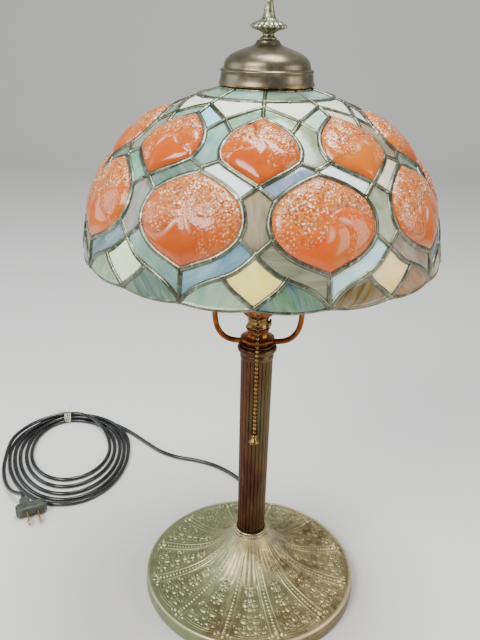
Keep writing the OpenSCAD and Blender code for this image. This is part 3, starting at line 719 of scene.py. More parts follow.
def place_curve(name):
    """A lead line's places, smoothed between its listed points, about 2 mm apart."""
    points = [Vector((t, lat, 0)) for t, lat in LINES[name.lstrip("-")]]
    fine = catmull(points, 14) if len(points) > 2 else [points[0].lerp(points[1], i / 28) for i in range(29)]
    spots = [dome_frame(p.x, p.y)[0] for p in fine]
    length = sum((b - a).length for a, b in zip(spots, spots[1:]))
    count = max(3, round(length / 0.0019))
    keep = [fine[round(i * (len(fine) - 1) / count)] for i in range(count + 1)]
    keep = [(p.x, p.y) for p in keep]
    return keep[::-1] if name.startswith("-") else keep


def cell_outlines(name):
    """Closed outlines of one repeat's panes of a kind, with the turn that each is centred on."""
    about, lines = CELLS[name]
    chain = [p for line in lines for p in place_curve(line)[:-1]]
    if about is None:
        return [chain, [(-t, lat) for t, lat in reversed(chain)]]
    last = place_curve(lines[-1])[-1]
    return [chain + [last] + [(2 * about - t, lat) for t, lat in reversed(chain[1:])]]


def flat_place(turn, lat, mid):
    """The pane laid out flat, in metres, about the turn mid."""
    return ((turn - mid) * HALF_PITCH * dome_r(lat), float(np.interp(lat, ARC_LATS, ARC_LENGTHS)))


def dome_place(x, y, mid):
    lat = float(np.interp(y, ARC_LENGTHS, ARC_LATS))
    return mid + x / (HALF_PITCH * dome_r(lat)), lat


def outline_distance(points, outline):
    """Distance of each flat point from the outline."""
    a = outline
    b = np.roll(outline, -1, axis=0)
    ab = b - a
    t = np.clip(((points[:, None] - a) * ab).sum(2) / (ab * ab).sum(1), 0, 1)
    return np.sqrt((((points[:, None] - (a + t[..., None] * ab)) ** 2).sum(2)).min(1))


def inside(points, outline):
    """True for the flat points within the outline."""
    x, y = points[:, 0, None], points[:, 1, None]
    xa, ya = outline[:, 0], outline[:, 1]
    xb, yb = np.roll(xa, -1), np.roll(ya, -1)
    crosses = (ya > y) != (yb > y)
    where = xa + (y - ya) * (xb - xa) / np.where(yb == ya, 1e-12, yb - ya)
    return (crosses & (x < where)).sum(1) % 2 == 1


def pane_layout(outline, spacing=0.0032):
    """Triangles that fill a pane: its flat points, the triangles, and each point's distance from the edge."""
    mid = sum(t for t, _ in outline) / len(outline)
    flat = np.array([flat_place(t, lat, mid) for t, lat in outline])
    lo, hi = flat.min(0), flat.max(0)
    grid = []
    row, y = 0, lo[1] + spacing * 0.5
    while y < hi[1]:
        x = lo[0] + spacing * (0.25 if row % 2 else 0.75)
        while x < hi[0]:
            grid.append((x, y))
            x += spacing
        y += spacing * 0.87
        row += 1
    grid = np.array(grid)
    grid = grid[inside(grid, flat)]
    grid = grid[outline_distance(grid, flat) > spacing * 0.55] if len(grid) else grid
    points = np.vstack([flat, grid]) if len(grid) else flat
    n = len(flat)
    made = delaunay_2d_cdt([Vector(p) for p in points], [], [tuple(range(n))], 1, 1e-7)
    verts = np.array([tuple(v) for v in made[0]])
    distance = outline_distance(verts, flat)
    return mid, flat, verts, [tuple(f) for f in made[2]], distance


# Opal sheets: the body colour, the streak colour and the wisp colour of each, as 0-255 screen values
PALE_SHEETS = {
    "ivory": ((255, 255, 246), (252, 250, 234), (255, 255, 255)),
    # white stands for a painted reflection: panes where window light glares off the flat glass are cut from
    # this sheet instead of their own tint.
    "white": ((252, 254, 252), (240, 248, 246), (255, 255, 255)),
    "bone": ((236, 230, 212), (222, 210, 188), (250, 248, 238)),
    "mint_blue": ((232, 244, 220), (168, 212, 232), (250, 252, 240)),
    "lemon": ((254, 244, 160), (250, 236, 138), (255, 250, 200)),
    "peach": ((255, 236, 184), (250, 222, 156), (255, 246, 216)),
    "mint_cream": ((244, 254, 222), (232, 246, 206), (252, 255, 240)),
}
DEEP_SHEETS = {
    "mint": ((220, 236, 212), (196, 222, 206), (242, 248, 236)),
    "sky": ((182, 236, 252), (160, 216, 240), (226, 248, 254)),
    "sage": ((170, 188, 160), (146, 168, 140), (206, 214, 190)),
    "green": ((142, 178, 152), (112, 156, 132), (190, 214, 192)),
    "gray_green": ((130, 148, 130), (104, 126, 110), (176, 186, 166)),
    "aqua_gray": ((160, 190, 180), (132, 170, 164), (206, 222, 210)),
    "teal": ((134, 170, 158), (104, 146, 138), (184, 208, 194)),
    "stone": ((166, 168, 150), (138, 140, 122), (204, 204, 186)),
    "sage_stone": ((174, 180, 148), (148, 156, 132), (210, 212, 186)),
    "taupe": ((170, 146, 122), (148, 130, 110), (206, 190, 166)),
    "olive": ((112, 118, 96), (88, 98, 84), (164, 168, 142)),
    "silver": ((152, 166, 180), (122, 134, 158), (202, 210, 212)),
    "gray_teal": ((116, 136, 124), (90, 114, 108), (168, 182, 164)),
    "mauve": ((144, 142, 150), (116, 118, 134), (190, 188, 184)),
    "stone_mauve": ((138, 132, 122), (116, 118, 104), (176, 172, 158)),
    "striped_tan": ((172, 162, 128), (134, 128, 116), (206, 200, 170)),
    "steel": ((134, 176, 186), (104, 144, 166), (190, 212, 210)),
    "drab": ((148, 146, 118), (120, 124, 108), (188, 188, 164)),
    "sea": ((150, 174, 162), (120, 148, 142), (196, 208, 194)),
    "slate": ((124, 142, 144), (94, 118, 128), (172, 184, 178)),
    "warm_gray": ((174, 156, 142), (150, 140, 124), (204, 196, 180)),
    "navy_green": ((70, 98, 108), (92, 130, 96), (130, 150, 134)),
    "streaky": ((180, 200, 180), (146, 172, 160), (216, 218, 190)),
    "moss": ((100, 122, 104), (80, 104, 96), (150, 162, 134)),
    "brown_olive": ((120, 102, 52), (92, 78, 46), (164, 150, 104)),
    "tan_peach": ((172, 134, 92), (150, 116, 84), (214, 184, 146)),
}


def stronger(colour):
    """The studio light washes colours out, so each is pushed away from its own gray."""
    gray = 0.3 * colour[0] + 0.59 * colour[1] + 0.11 * colour[2]
    push = 1.55 if gray < 225 else 1.35
    return tuple(max(0, min(255, round(gray + (c - gray) * push))) for c in colour)


def darker(colour):
    keep = 0.84 if sum(colour) / 3 < 190 else 0.92
    return tuple(round(c * keep) for c in colour)


SHEETS = {name: [rgb(*stronger(c)) for c in sheet] for name, sheet in PALE_SHEETS.items()}
SHEETS.update({name: [rgb(*darker(stronger(c))) for c in sheet] for name, sheet in DEEP_SHEETS.items()})

# Which sheet each pane is cut from, going round from the front to the right; paired panes as right then left
# Each white cut is a painted reflection on that pane.
CUTS = {
    "top_strip": ["gray_green", "aqua_gray", "teal", "green", "teal", "gray_green", "teal", "green",
        "aqua_gray"],
    "cream_upper": ["ivory"] * REPEATS,
    "border_upper": ["sage green", "bone mint", "sky white", "green sage", "sage sky",
        "green gray_green", "sky green", "gray_green white", "sky teal"],
    "waist_upper": ["sage_stone", "taupe", "stone", "aqua_gray", "sage_stone", "teal", "aqua_gray",
        "stone", "aqua_gray"],
    "border_middle": ["silver white", "bone white", "white gray_teal", "silver mauve",
        "gray_teal white", "mauve silver", "white gray_teal", "olive gray_teal", "gray_teal green"],
    "waist_lower": ["striped_tan", "sage_stone", "olive", "stone_mauve", "striped_tan", "stone",
        "warm_gray", "olive", "stone_mauve"],
    "border_lower": ["drab steel", "warm_gray mint_blue", "taupe mauve", "sea steel", "drab mauve",
        "slate sea", "taupe steel", "drab slate", "sea slate"],
    "diamond": ["lemon", "peach", "mint_cream"] * 3,
    "rim_corner": ["navy_green streaky", "tan_peach brown_olive", "brown_olive tan_peach",
        "streaky navy_green", "moss brown_olive", "tan_peach streaky", "brown_olive moss",
        "moss streaky", "moss sage"],
}
PIECES = {
    "top_strip": ("glass_top_strip", "opal_teal"), "cream_upper": ("glass_cream_upper", "opal_cream"),
    "border_upper": ("glass_border_upper", "opal_sage"), "waist_upper": ("glass_waist_upper", "opal_aqua"),
    "border_middle": ("glass_border_middle", "opal_silver"),
    "waist_lower": ("glass_waist_lower", "opal_gray"),
    "border_lower": ("glass_border_lower", "opal_blue"), "diamond": ("glass_diamond", "opal_yellow"),
    "rim_corner": ("glass_rim_corner", "opal_rose"),
}
GRAINS = {"top_strip": 0, "cream_upper": 10, "border_upper": 20, "waist_upper": 80, "border_middle": 40,
          "waist_lower": 90, "border_lower": 25, "diamond": 60, "rim_corner": 50}
GLASS_T = 0.0028
OPAL = opal_material()


def make_glass(kind):
    """All panes of one kind: flat-cut pieces of opal sheet, a little faceted against the dome."""
    build = Build()
    for side, outline in enumerate(cell_outlines(kind)):
        mid, flat, verts, faces, distance = pane_layout(outline)
        centre = verts.mean(0)
        places = [dome_place(x, y, mid) for x, y in verts]
        edge_places = [dome_place(x, y, mid) for x, y in flat]
        edge = np.array([dome_frame(t, lat)[0] for t, lat in edge_places])
        weights = 1 / (np.sqrt(((verts[:, None] - flat) ** 2).sum(2)) + 1e-5) ** 3
        film = (weights[..., None] * edge).sum(1) / weights.sum(1)[:, None]
        for k in range(REPEATS):
            cut = CUTS[kind][k].split()[side if CELLS[kind][0] is None else 0]
            sheet = SHEETS[cut]
            spin = Matrix.Rotation(2 * HALF_PITCH * k, 3, "Z")
            sway = math.radians(GRAINS[kind] * (1 if side else -1) + rng.uniform(-14, 14))
            grain = np.array([[math.cos(sway), math.sin(sway)], [-math.sin(sway), math.cos(sway)]])
            local = (verts - centre) @ grain.T
            offset = (rng.uniform(0, 5), rng.uniform(0, 5), rng.uniform(0, 5))
            warm = rng.uniform(-0.04, 0.04)
            tints = [tuple(min(1.0, c * (1 + warm * s)) for c, s in zip(tint[:3], (1, 0, -1))) + (1.0,)
                     for tint in sheet]
            front, back = [], []
            tilt = Vector((rng.uniform(-1, 1), rng.uniform(-1, 1)))
            for i, (t, lat) in enumerate(places):
                point, normal = dome_frame(t, lat)
                d = distance[i]
                ease = eased(min(1.0, d / 0.006))
                base = point.lerp(Vector(film[i]), 0.75)
                spot = Vector((local[i][0] * 45 + offset[0] * 9, local[i][1] * 45, offset[1] * 9))
                swell = 0.00035 * ease + 0.0005 * ease * noise.noise(spot)
                wedge = 0.012 * ease * tilt.dot(Vector(verts[i] - centre))
                front.append(spin @ (base + normal * (swell + wedge)))
                back.append(spin @ (base - normal * GLASS_T))
            n = len(verts)
            shell = list(faces) + [tuple(i + n for i in reversed(f)) for f in faces]
            rim = len(flat)
            order = [int(np.argmin(((verts - p) ** 2).sum(1))) for p in flat]
            shell += [(order[(i + 1) % rim], order[i], order[i] + n, order[(i + 1) % rim] + n)
                      for i in range(rim)]
            place = [(x + offset[0], y + offset[1], offset[2]) for x, y in local]
            build.add(front + back, shell, sheet=place + place,
                      tint_a=[tints[0]] * (2 * n), tint_b=[tints[1]] * (2 * n), tint_c=[tints[2]] * (2 * n))
    node, slot = PIECES[kind]
    obj = build.make("panes_" + kind)
    return finish_piece(obj, "shade", OPAL, slot, node)


for kind in PIECES:
    make_glass(kind)


# ---------------------------------------------------------------- pressed amber tiles

AMBER = amber_material()
AMBER_TINTS = [(rgb(202, 100, 0), rgb(184, 78, 0)), (rgb(208, 76, 0), rgb(196, 96, 0)),
               (rgb(196, 104, 0), rgb(180, 84, 0)), (rgb(194, 86, 0), rgb(174, 72, 0)),
               (rgb(206, 92, 0), rgb(194, 104, 0))]
# Pressed lobes of a tile: middle and half width in degrees, and how hammered each is; then its sharp ridges
LOBES = [(-84, 40, 0.05), (-18, 30, 0.35), (42, 34, 1.0), (102, 30, 0.8), (158, 30, 1.0), (-150, 30, 0.45)]
RIDGES = [(-118, 0.8, 0.55), (-46, 0.65, 0.50), (124, 0.5, 0.40)]


def pressed_relief(angle, rho, lobes, ridges, swirl):
    """Height of the pressed lobes, how hammered the place is and how near a ridge it is, from 0 to 1."""
    degrees = math.degrees(angle) + 34 * (rho - 0.5) + 10 * math.sin(6 * rho + swirl)
    height, rough, total, ridge = 0.0, 0.0, 1e-6, 0.0
    for at, half, hammered in lobes:
        away = abs((degrees - at + 180) % 360 - 180) / (half * 1.1)
        rise = max(0.0, 1 - away * away) ** 0.5
        height = max(height, rise)
        weight = rise ** 3
        rough += hammered * weight
        total += weight
    middle = eased(min(1.0, max(0.0, rho - 0.05) / 0.3))
    height = 0.75 + (height * min(1.0, max(0.0, 1.02 - rho) / 0.2) ** 0.6 - 0.75) * middle
    rough = 0.55 + (rough / total - 0.55) * middle
    for at, strength, reach in ridges:
        across = math.radians(abs((degrees - at + 180) % 360 - 180)) * rho * 27
        along = min(1.0, max(0.0, rho - 0.10) / 0.14) * min(1.0, max(0.0, reach - rho) / 0.2)
        ridge = max(ridge, strength * along * math.exp(-(across / 1.5) ** 2))
    return height, rough * (1 - ridge), ridge


def make_tiles(kind, node, slot):
    build = Build()
    outline = cell_outlines(kind)[0]
    mid = CELLS[kind][0]
    flat = np.array([flat_place(t, lat, mid) for t, lat in outline])
    hub = np.array([0.0, flat[:, 1].min() * 0.46 + flat[:, 1].max() * 0.54])
    rim = catmull([(x, y, 0) for x, y in flat], 3, closed=True)
    n, rings = len(rim), 40
    for k in range(REPEATS):
        spin = Matrix.Rotation(2 * HALF_PITCH * k, 3, "Z")
        tints = AMBER_TINTS[rng.randrange(len(AMBER_TINTS))]
        turn = rng.choice((0, 10, -12, 20, -22, 6))
        lobes = [(at + turn + rng.uniform(-9, 9), half, min(1.0, hammered * rng.uniform(0.7, 1.4)))
                 for at, half, hammered in LOBES]
        ridges_at = [(at + turn + rng.uniform(-8, 8), strength * rng.uniform(0.5, 1.1), reach)
                     for at, strength, reach in RIDGES]
        swirl = rng.uniform(0, 6)
        shift = (rng.uniform(0, 9), rng.uniform(0, 9))
        verts, relief, hammered, ridges = [], [], [], []
        for i in range(rings + 1):
            rho = 1 - i / rings
            for p in rim:
                x, y = hub[0] + (p.x - hub[0]) * rho, hub[1] + (p.y - hub[1]) * rho
                t, lat = dome_place(x, y, mid)
                point, normal = dome_frame(t, lat)
                angle = math.atan2(p.y - hub[1], p.x - hub[0])
                lobe, rough, ridge = pressed_relief(angle, rho, lobes, ridges_at, swirl)
                dome = 1 - rho ** 3.0
                edge = min(1.0, (1 - rho) / 0.1)
                pebble = noise.noise(Vector((x * 760 + shift[0], y * 760 + shift[1], k))) * 0.5 + 0.5
                lift = 0.0042 * dome + 0.0022 * lobe * edge + 0.0010 * ridge * edge
                lift += edge * rough * 0.00040 * pebble
                verts.append(spin @ (point + normal * (lift + 0.0001)))
                relief.append(lobe)
                hammered.append(rough * edge)
                ridges.append(ridge)
        inner = []
        for i in (0, rings // 3, 2 * rings // 3, rings):
            rho = 1 - i / rings
            for p in rim:
                t, lat = dome_place(hub[0] + (p.x - hub[0]) * rho, hub[1] + (p.y - hub[1]) * rho, mid)
                point, normal = dome_frame(t, lat)
                inner.append(spin @ (point - normal * GLASS_T))
        faces = [f for i in range(rings) for f in ring_faces(i * n, (i + 1) * n, n)]
        start = len(verts)
        for i in range(3):
            faces += reversed_faces(ring_faces(start + i * n, start + (i + 1) * n, n))
        faces += reversed_faces(ring_faces(0, start, n))
        count = len(verts) + len(inner)
        spare = [0.5] * len(inner)
        build.add(verts + inner, faces, relief=relief + spare, hammered=hammered + spare,
                  ridge=ridges + [0.0] * len(inner), tint_a=[tints[0]] * count, tint_b=[tints[1]] * count)
    return finish_piece(build.make("tiles_" + kind), "shade", AMBER, slot, node)


make_tiles("upper_tile", "tile_upper", "amber")
make_tiles("lower_tile", "tile_lower", "amber_deep")


# ---------------------------------------------------------------- lead seams and rim

TILE_LINES = ("tile_brow", "waist_side", "tile_chin", "low_brow", "low_side", "low_chin")


def make_lead():
    """Rounded solder seams of uneven width over every joint of the glass, with a blob where seams meet."""
    build = Build()
    corners = {}
    for name in LINES:
        if name == "rim_edge":
            continue
        places = place_curve(name)
        broad = 1.22 if name in TILE_LINES else 1.0
        on_line = all(abs(t) < 1e-6 for t, _ in places) or all(abs(t - 1) < 1e-6 for t, _ in places)
        for side in (1,) if on_line else (1, -1):
            for k in range(REPEATS):
                frames = [dome_frame(side * t + 2 * k, lat) for t, lat in places]
                path = [p - n * 0.0007 for p, n in frames]
                normals = [n for _, n in frames]
                widths = [broad * (1 + 0.16 * noise.noise(p * 95) + 0.06 * noise.noise(p * 330))
                          for p in path]
                for a in (0, -1):
                    key = tuple(round(c, 4) for c in path[a])
                    corners[key] = (path[a], normals[a])
                tube(build, path, 1.0, 10, ends=True, up=lambda i, normals=normals: normals[i],
                     section=lambda i, a, w=widths: (0.00205 * w[i], 0.00235 * (0.6 + 0.4 * w[i])))
    for point, normal in corners.values():
        size = 0.0025 + 0.0004 * noise.noise(point * 60)
        ball(build, point + normal * 0.0009, size, 6, 12, 0.62, normal)
    obj = build.make("lead_seams")
    return finish_piece(obj, "shade", lead_material(), "lead", "lead_came")


def make_rim():
    """The rounded wire along the shade's scalloped lower edge."""
    build = Build()
    places = place_curve("rim_edge")[:-1]
    path = []
    for k in range(REPEATS * 2):
        for t, lat in places:
            p, n = dome_frame(k + t, lat)
            path.append(p - n * 0.0012 - Vector((0, 0, 0.0009)))
    n, sides = len(path), 12
    verts = []
    for i, p in enumerate(path):
        out = Vector((p.x, p.y, 0)).normalized()
        r = 0.00165 * (1 + 0.1 * noise.noise(p * 120))
        angles = [2 * math.pi * s / sides for s in range(sides)]
        verts += [p + out * (r * math.cos(a)) + Vector((0, 0, r * math.sin(a))) for a in angles]
    faces = []
    for i in range(n):
        faces += reversed_faces(ring_faces(i * sides, ((i + 1) % n) * sides, sides))
    build.add(verts, faces)
    obj = build.make("rim_bead")
    return finish_piece(obj, "shade", bpy.data.materials["lead_seam"], "lead", "rim_wire")


make_lead()
make_rim()


# ---------------------------------------------------------------- cast base with its relief

BASE_R = 0.110
RIB_TURN = -13.1


def flare_z(r):
    return (14.5 + 49 * math.exp((17 - r / MM) / 26)) * MM


def bump_at(x, width):
    """A rounded ridge of unit height: 1 on its crest and 0 from width away."""
    x = abs(x) / width
    return math.sqrt(1 - x * x) if x < 1 else 0.0


def quatrefoil(x, y, size):
    """Four plump raised leaves about a boss, with sunk corners between them."""
    rho, phi = math.hypot(x, y), math.atan2(y, x)
    if rho > size * 1.2:
        return 0.0
    height = 0.0
    for px, py in ((0, 1), (0, -1), (1, 0), (-1, 0)):
        along, aside = x * px + y * py, abs(x * py - y * px)
        leaf = math.hypot((along - 0.56 * size) / (0.46 * size), aside / (0.34 * size))
        if leaf < 1:
            height = max(height, math.sqrt(1 - leaf * leaf) * (0.55 + 0.45 * min(1.0, aside / (0.1 * size))))
    height = max(height, 0.9 * bump_at(rho, 0.22 * size))
    bud = math.hypot(abs(x) - 0.60 * size, abs(y) - 0.60 * size)
    return max(height, 0.6 * bump_at(bud, 0.17 * size))


def base_relief(r, degrees):
    """Height in millimetres of the casting's ornament, at radius r in millimetres."""
    sector = (degrees - RIB_TURN) % 30
    side = min(sector, 30 - sector)
    across = math.radians(side) * r
    height = 0.0
    if r < 50:
        fade = unit((50 - r) / 8) * unit((r - 20) / 6)
        height += 0.55 * fade * (abs(math.cos(math.radians(sector * 6))) ** 0.7 - 0.45)
        height += 0.22 * fade * math.cos(math.radians(sector * 48))
    grow = unit((r - 24) / 12)
    spread = 0.9 + 2.9 * max(0.0, (r - 24) / 78)
    if r < 103:
        height += 0.75 * grow * bump_at(across - spread - 1.3, 0.85)
    if 26 < r < 104:
        step = 3.4
        along = (r - 26) % step - step / 2
        size = 0.7 + 0.9 * (r - 26) / 78
        height += 0.9 * size * bump_at(math.hypot(across, along), size)
    if r > 92:
        for x, y, size in ((0, 97.5, 2.4), (4.4, 99.6, 1.9), (7.8, 101.4, 1.5)):
            height += 1.3 * bump_at(math.hypot(across - x, r - y), size)
    far = across - spread - 3.2
    if r > 46 and far > 0:
        edge = min(1.0, far / 1.2) * min(1.0, (r - 46) / 3) * (1.0 if r < 97 else max(0.0, (100 - r) / 3))
        x = math.radians(sector - 15) * r
        flowers = ((0, 52, 5.2), (0, 65, 7.2), (0, 82, 9.4), (13.5, 75, 4.6), (-13.5, 75, 4.6),
                   (9.5, 94, 6.2), (-9.5, 94, 6.2), (18.5, 88, 4.4), (-18.5, 88, 4.4), (0, 96.5, 3.4))
        relief = max(quatrefoil(x - fx, r - fy, size) for fx, fy, size in flowers)
        height += edge * (1.5 * relief - 0.45)
        bow = 102.2 - 0.018 * (15 - side) ** 2
        height += 0.55 * (bump_at(r - bow, 0.6) + bump_at(r - bow + 2.4, 0.6)) * min(1.0, far / 1.0)
    return height


def make_base():
    """The whole casting: flared top with ribs, beads and flowers, fillet, side band and hollow underside."""
    radii = list(np.linspace(17.2, 40, 34)) + list(np.linspace(40.55, 104.5, 128))
    count = 1080
    verts, relief = [], []
    for r in radii:
        for k in range(count):
            a = 2 * math.pi * k / count
            h = base_relief(r, math.degrees(math.atan2(math.cos(a), -math.sin(a))))
            z = flare_z(r * MM) + h * MM
            verts.append((r * MM * math.cos(a), r * MM * math.sin(a), z))
            relief.append(0.53 + 0.12 * h)
    rim = [(105.6, 15.3, 0.5), (106.4, 15.9, 0.8), (107.4, 16.1, 0.95), (108.4, 15.8, 0.95),
           (109.2, 14.9, 0.85), (109.6, 13.6, 0.5), (109.3, 12.7, 0.22), (109.4, 11.6, 0.28),
           (109.9, 10.6, 0.34), (110, 9.0, 0.28), (110, 5.0, 0.28), (110, 2.2, 0.28),
           (109.6, 1.3, 0.3), (108.4, 1.0, 0.3), (106, 1.0, 0.2), (105, 1.4, 0.2), (105, 9, 0.2),
           (100, 10.2, 0.2), (80, 12.8, 0.2), (60, 17.7, 0.2), (45, 25.2, 0.2), (34, 34, 0.2),
           (26, 43.2, 0.2), (20, 50, 0.2), (14, 50.5, 0.2)]
    for r, z, shade in rim:
        verts += circle(r, z, count)
        relief += [shade] * count
    rows = len(radii) + len(rim)
    faces = [f for i in range(rows - 1) for f in ring_faces(i * count, (i + 1) * count, count)]
    seat = len(verts)
    for r, z in ((17.2, 61.9), (5.4, 61.9), (5.4, 50.5), (14, 50.5)):
        verts += circle(r, z, count)
        relief += [0.4] * count
    faces += reversed_faces(ring_faces(0, seat, count))
    for i in range(3):
        faces += reversed_faces(ring_faces(seat + i * count, seat + (i + 1) * count, count))
    build = Build()
    build.add(verts, reversed_faces(faces), relief=relief)
    obj = build.make("base_shell")
    # The green tint grows towards -x, the left: painted cool light from that side.
    bronze = patina_material("base_bronze", rgb(104, 92, 58), rgb(186, 172, 126), rgb(222, 210, 166),
                             metallic=0.78, rough=(0.32, 0.48), grain=190, relief=True,
                             tint=rgb(146, 162, 124), bump=0.12, painted_side_light=3.2)
    return finish_piece(obj, "stand", bronze, "cast_base", "base_casting")


make_base()


# ---------------------------------------------------------------- column, neck and harp

# The olive tint grows towards +x, the right: painted warm light from that side.
BRONZE = patina_material("column_bronze", rgb(60, 33, 20), rgb(84, 48, 30), rgb(112, 74, 46), metallic=0.85,
                         rough=(0.26, 0.44), grain=170, tint=rgb(88, 84, 52), stretch=(1, 1, 0.25), painted_side_light=-9)
COPPER = patina_material("copper_bronze", rgb(74, 38, 18), rgb(132, 74, 34), rgb(186, 124, 66), metallic=0.95,
                         rough=(0.24, 0.42), grain=150)
BRASS = patina_material("worn_brass", rgb(84, 60, 32), rgb(146, 112, 64), rgb(204, 176, 124), metallic=0.95,
                        rough=(0.2, 0.38), grain=200)
CAP_BRONZE = patina_material("cap_bronze", rgb(92, 86, 68), rgb(120, 114, 96), rgb(148, 142, 122),
                             metallic=0.9, rough=(0.28, 0.38), grain=120, tint=rgb(104, 92, 70), bump=0.05)
FINIAL_BRASS = patina_material("finial_brass", rgb(92, 90, 66), rgb(140, 142, 112), rgb(206, 210, 184),
                               metallic=0.92, rough=(0.24, 0.4), grain=230, relief=True)


def make_foot_ring():
    """A ring of small cast beads round the foot of the column."""
    build = Build()
    profile = [(14.7, 62.0), (17.0, 62.05), (17.6, 62.6), (16.4, 63.4), (15.6, 65.0), (16.2, 66.8),
               (16.6, 67.5), (15.6, 68.0), (14.7, 67.95)]
    lathe(build, [(r * MM, z * MM) for r, z in profile], 96)
    for k in range(40):
        a = 2 * math.pi * k / 40
        ball(build, (16.5 * MM * math.cos(a), 16.5 * MM * math.sin(a), 65.0 * MM), 1.3 * MM, 8, 12)
    obj = build.make("foot_beads")
    pale = patina_material("bead_bronze", rgb(150, 136, 100), rgb(200, 186, 146), rgb(236, 226, 194),
                           metallic=0.9, rough=(0.22, 0.4), grain=260)
    finish_piece(obj, "stand", pale, "column_bronze", "foot_ring")


def make_capital():
    """Rolled collar at the top of the column, with a narrow sunk ring and a short plain band."""
    profile = [(5.4, 264.5), (15.7, 264.5), (15.9, 264.9), (15.9, 268.7), (15.5, 269.1), (15.1, 269.7),
               (15.1, 270.3)]
    profile += arc(15.1, 273.9, 3.5, -76, 76, 10)
    profile += [(15.2, 277.5), (15.0, 278), (15.6, 278.3), (15.6, 278.8), (15.2, 279), (5.4, 279)]
    turned("column_collar", profile, 96, "stand", BRONZE, "column_bronze", "capital")


def make_neck():
    """Flared bell, brass spacer, and the knurled thumb ring of the socket screw."""
    bell = [(5.4, 282), (14.6, 282), (15.6, 282.5), (16, 283.4), (15.9, 284.6), (15.2, 285.2)]
    bell += [(10.2 + 4.6 * (1 - math.sin(math.radians(a))), 285.4 + 7.2 * (1 - math.cos(math.radians(a))))
             for a in range(6, 91, 7)]
    bell += [(10.1, 293.0), (11.0, 293.5), (11.25, 294.2), (11.1, 294.9), (5.4, 295)]
    turned("neck_flare", bell, 96, "stand", COPPER, "copper_bronze", "neck_bell")
    spacer = [(5.4, 295), (10.0, 295.0), (10.2, 295.4), (10.2, 297.0), (9.7, 297.3), (9.7, 303.8),
              (10.2, 304.1), (10.2, 305.6), (10.0, 306), (5.4, 306)]
    turned("neck_collar", spacer, 72, "stand", BRASS, "copper_bronze", "neck_spacer")
    screw = Build()
    turn = Vector((0, 0, 1)).rotation_difference(Vector((1, 0, 0))).to_matrix()
    profile = [(0.01, 5.3), (1.5, 5.3), (1.5, 10.4), (2.7, 10.45), (3.1, 10.7), (3.2, 11.1), (3.2, 12.0),
               (3.0, 12.4), (2.2, 12.6), (2.0, 12.35), (0.01, 12.3)]
    part = Build()
    lathe(part, [(r * MM, z * MM) for r, z in profile], 96,
          wave=lambda a, i: 1 + (0.035 * math.cos(24 * a) if 5 <= i <= 6 else 0))
    screw.add([turn @ Vector(v) + Vector((0, 0, 299.5 * MM)) for v in part.verts], part.faces)
    finish_piece(screw.make("thumb_screw"), "stand", BRASS, "brass", "neck_screw")


def make_socket():
    """Saucer-shaped socket cap with a rolled lip."""
    profile = [(5.0, 306.05), (8.6, 306.0), (10.2, 306.4), (12.2, 307.2), (14.2, 308.8), (15.7, 311.2),
               (16.5, 314.0), (17.0, 315.6), (17.25, 316.4), (17.2, 318.4), (17.0, 319.2), (17.2, 319.8),
               (17.1, 320.4), (16.75, 320.5), (16.7, 316.6), (14.2, 312.6), (10.2, 307.8), (5.0, 307.8)]
    turned("socket_saucer", profile, 96, "stand", COPPER, "brass", "socket_cap")


def make_harp():
    """Two bent rods that carry the shade, flattened a little on their outer side."""
    path = [(14.5, 280.5), (20, 280.5), (27, 282), (33, 286), (37.5, 293), (39.5, 302), (40.5, 315),
            (43, 330), (46, 346), (48.2, 364), (49, 385), (47.5, 406), (43.5, 428), (37, 450), (28, 470),
            (18, 485), (12, 491), (7.05, 495)]
    for side, name in ((-1, "left"), (1, "right")):
        build = Build()
        line = even_points(catmull([(side * x * MM, 0, z * MM) for x, z in path], 6), 0.0024)
        tube(build, line, 2.75 * MM, 20, up=lambda i: Vector((0, 1, 0)),
             section=lambda i, a: (1.0 if abs(math.cos(a)) < 0.8 else 0.94, 1.0))
        finish_piece(build.make("harp_rod_" + name), "stand", COPPER, "copper_bronze", "harp_arm_" + name)


make_foot_ring()
make_capital()
make_neck()
make_socket()
make_harp()


# ---------------------------------------------------------------- bead chains and their guide

CHAIN_Y = -0.0225
PITCH = 0.00425
SPLIT_Z = 0.3245
CHAIN_FOOT = 182.75


def chain_beads(name, body, node, top, count):
    build = Build()
    for k in range(count):
        z = top - PITCH * (k + 0.5)
        ball(build, (0, CHAIN_Y, z), 0.00159, 10, 16, 0.97)
    for k in range(count + 1):
        z = top - PITCH * k
        half = 0.0008
        lo, hi = (z - half, z + half)
        hi = min(hi, top - 0.00022)
        lo = max(lo, top - PITCH * count + 0.00012)
        tube(build, [(0, CHAIN_Y, lo), (0, CHAIN_Y, hi)], 0.00038, 10)
    finish_piece(build.make(name), body, BRASS, "brass", node)


def make_chain_end():
    """The small turned bell that ends the pull chain."""
    profile = [(0.01, 0.05), (2.6, 0.1), (4.4, 0.5), (5.0, 1.3), (4.8, 2.2), (3.9, 3.5), (2.9, 4.8),
               (2.2, 5.8), (2.0, 6.3), (2.5, 6.8), (2.8, 7.6), (2.7, 8.5), (2.1, 9.3), (1.3, 9.8),
               (0.01, 9.95)]
    turned("chain_bell", [(r, CHAIN_FOOT + z) for r, z in profile], 48, "hanging_chain", BRASS, "brass",
           "pull_bell", centre=(0, CHAIN_Y, 0))


chain_beads("chain_top", "switch_chain", "chain_upper", SPLIT_Z + PITCH * 4, 4)
chain_beads("chain_low", "hanging_chain", "pull_chain", SPLIT_Z, 31)
make_chain_end()


# ---------------------------------------------------------------- vase cap and finial

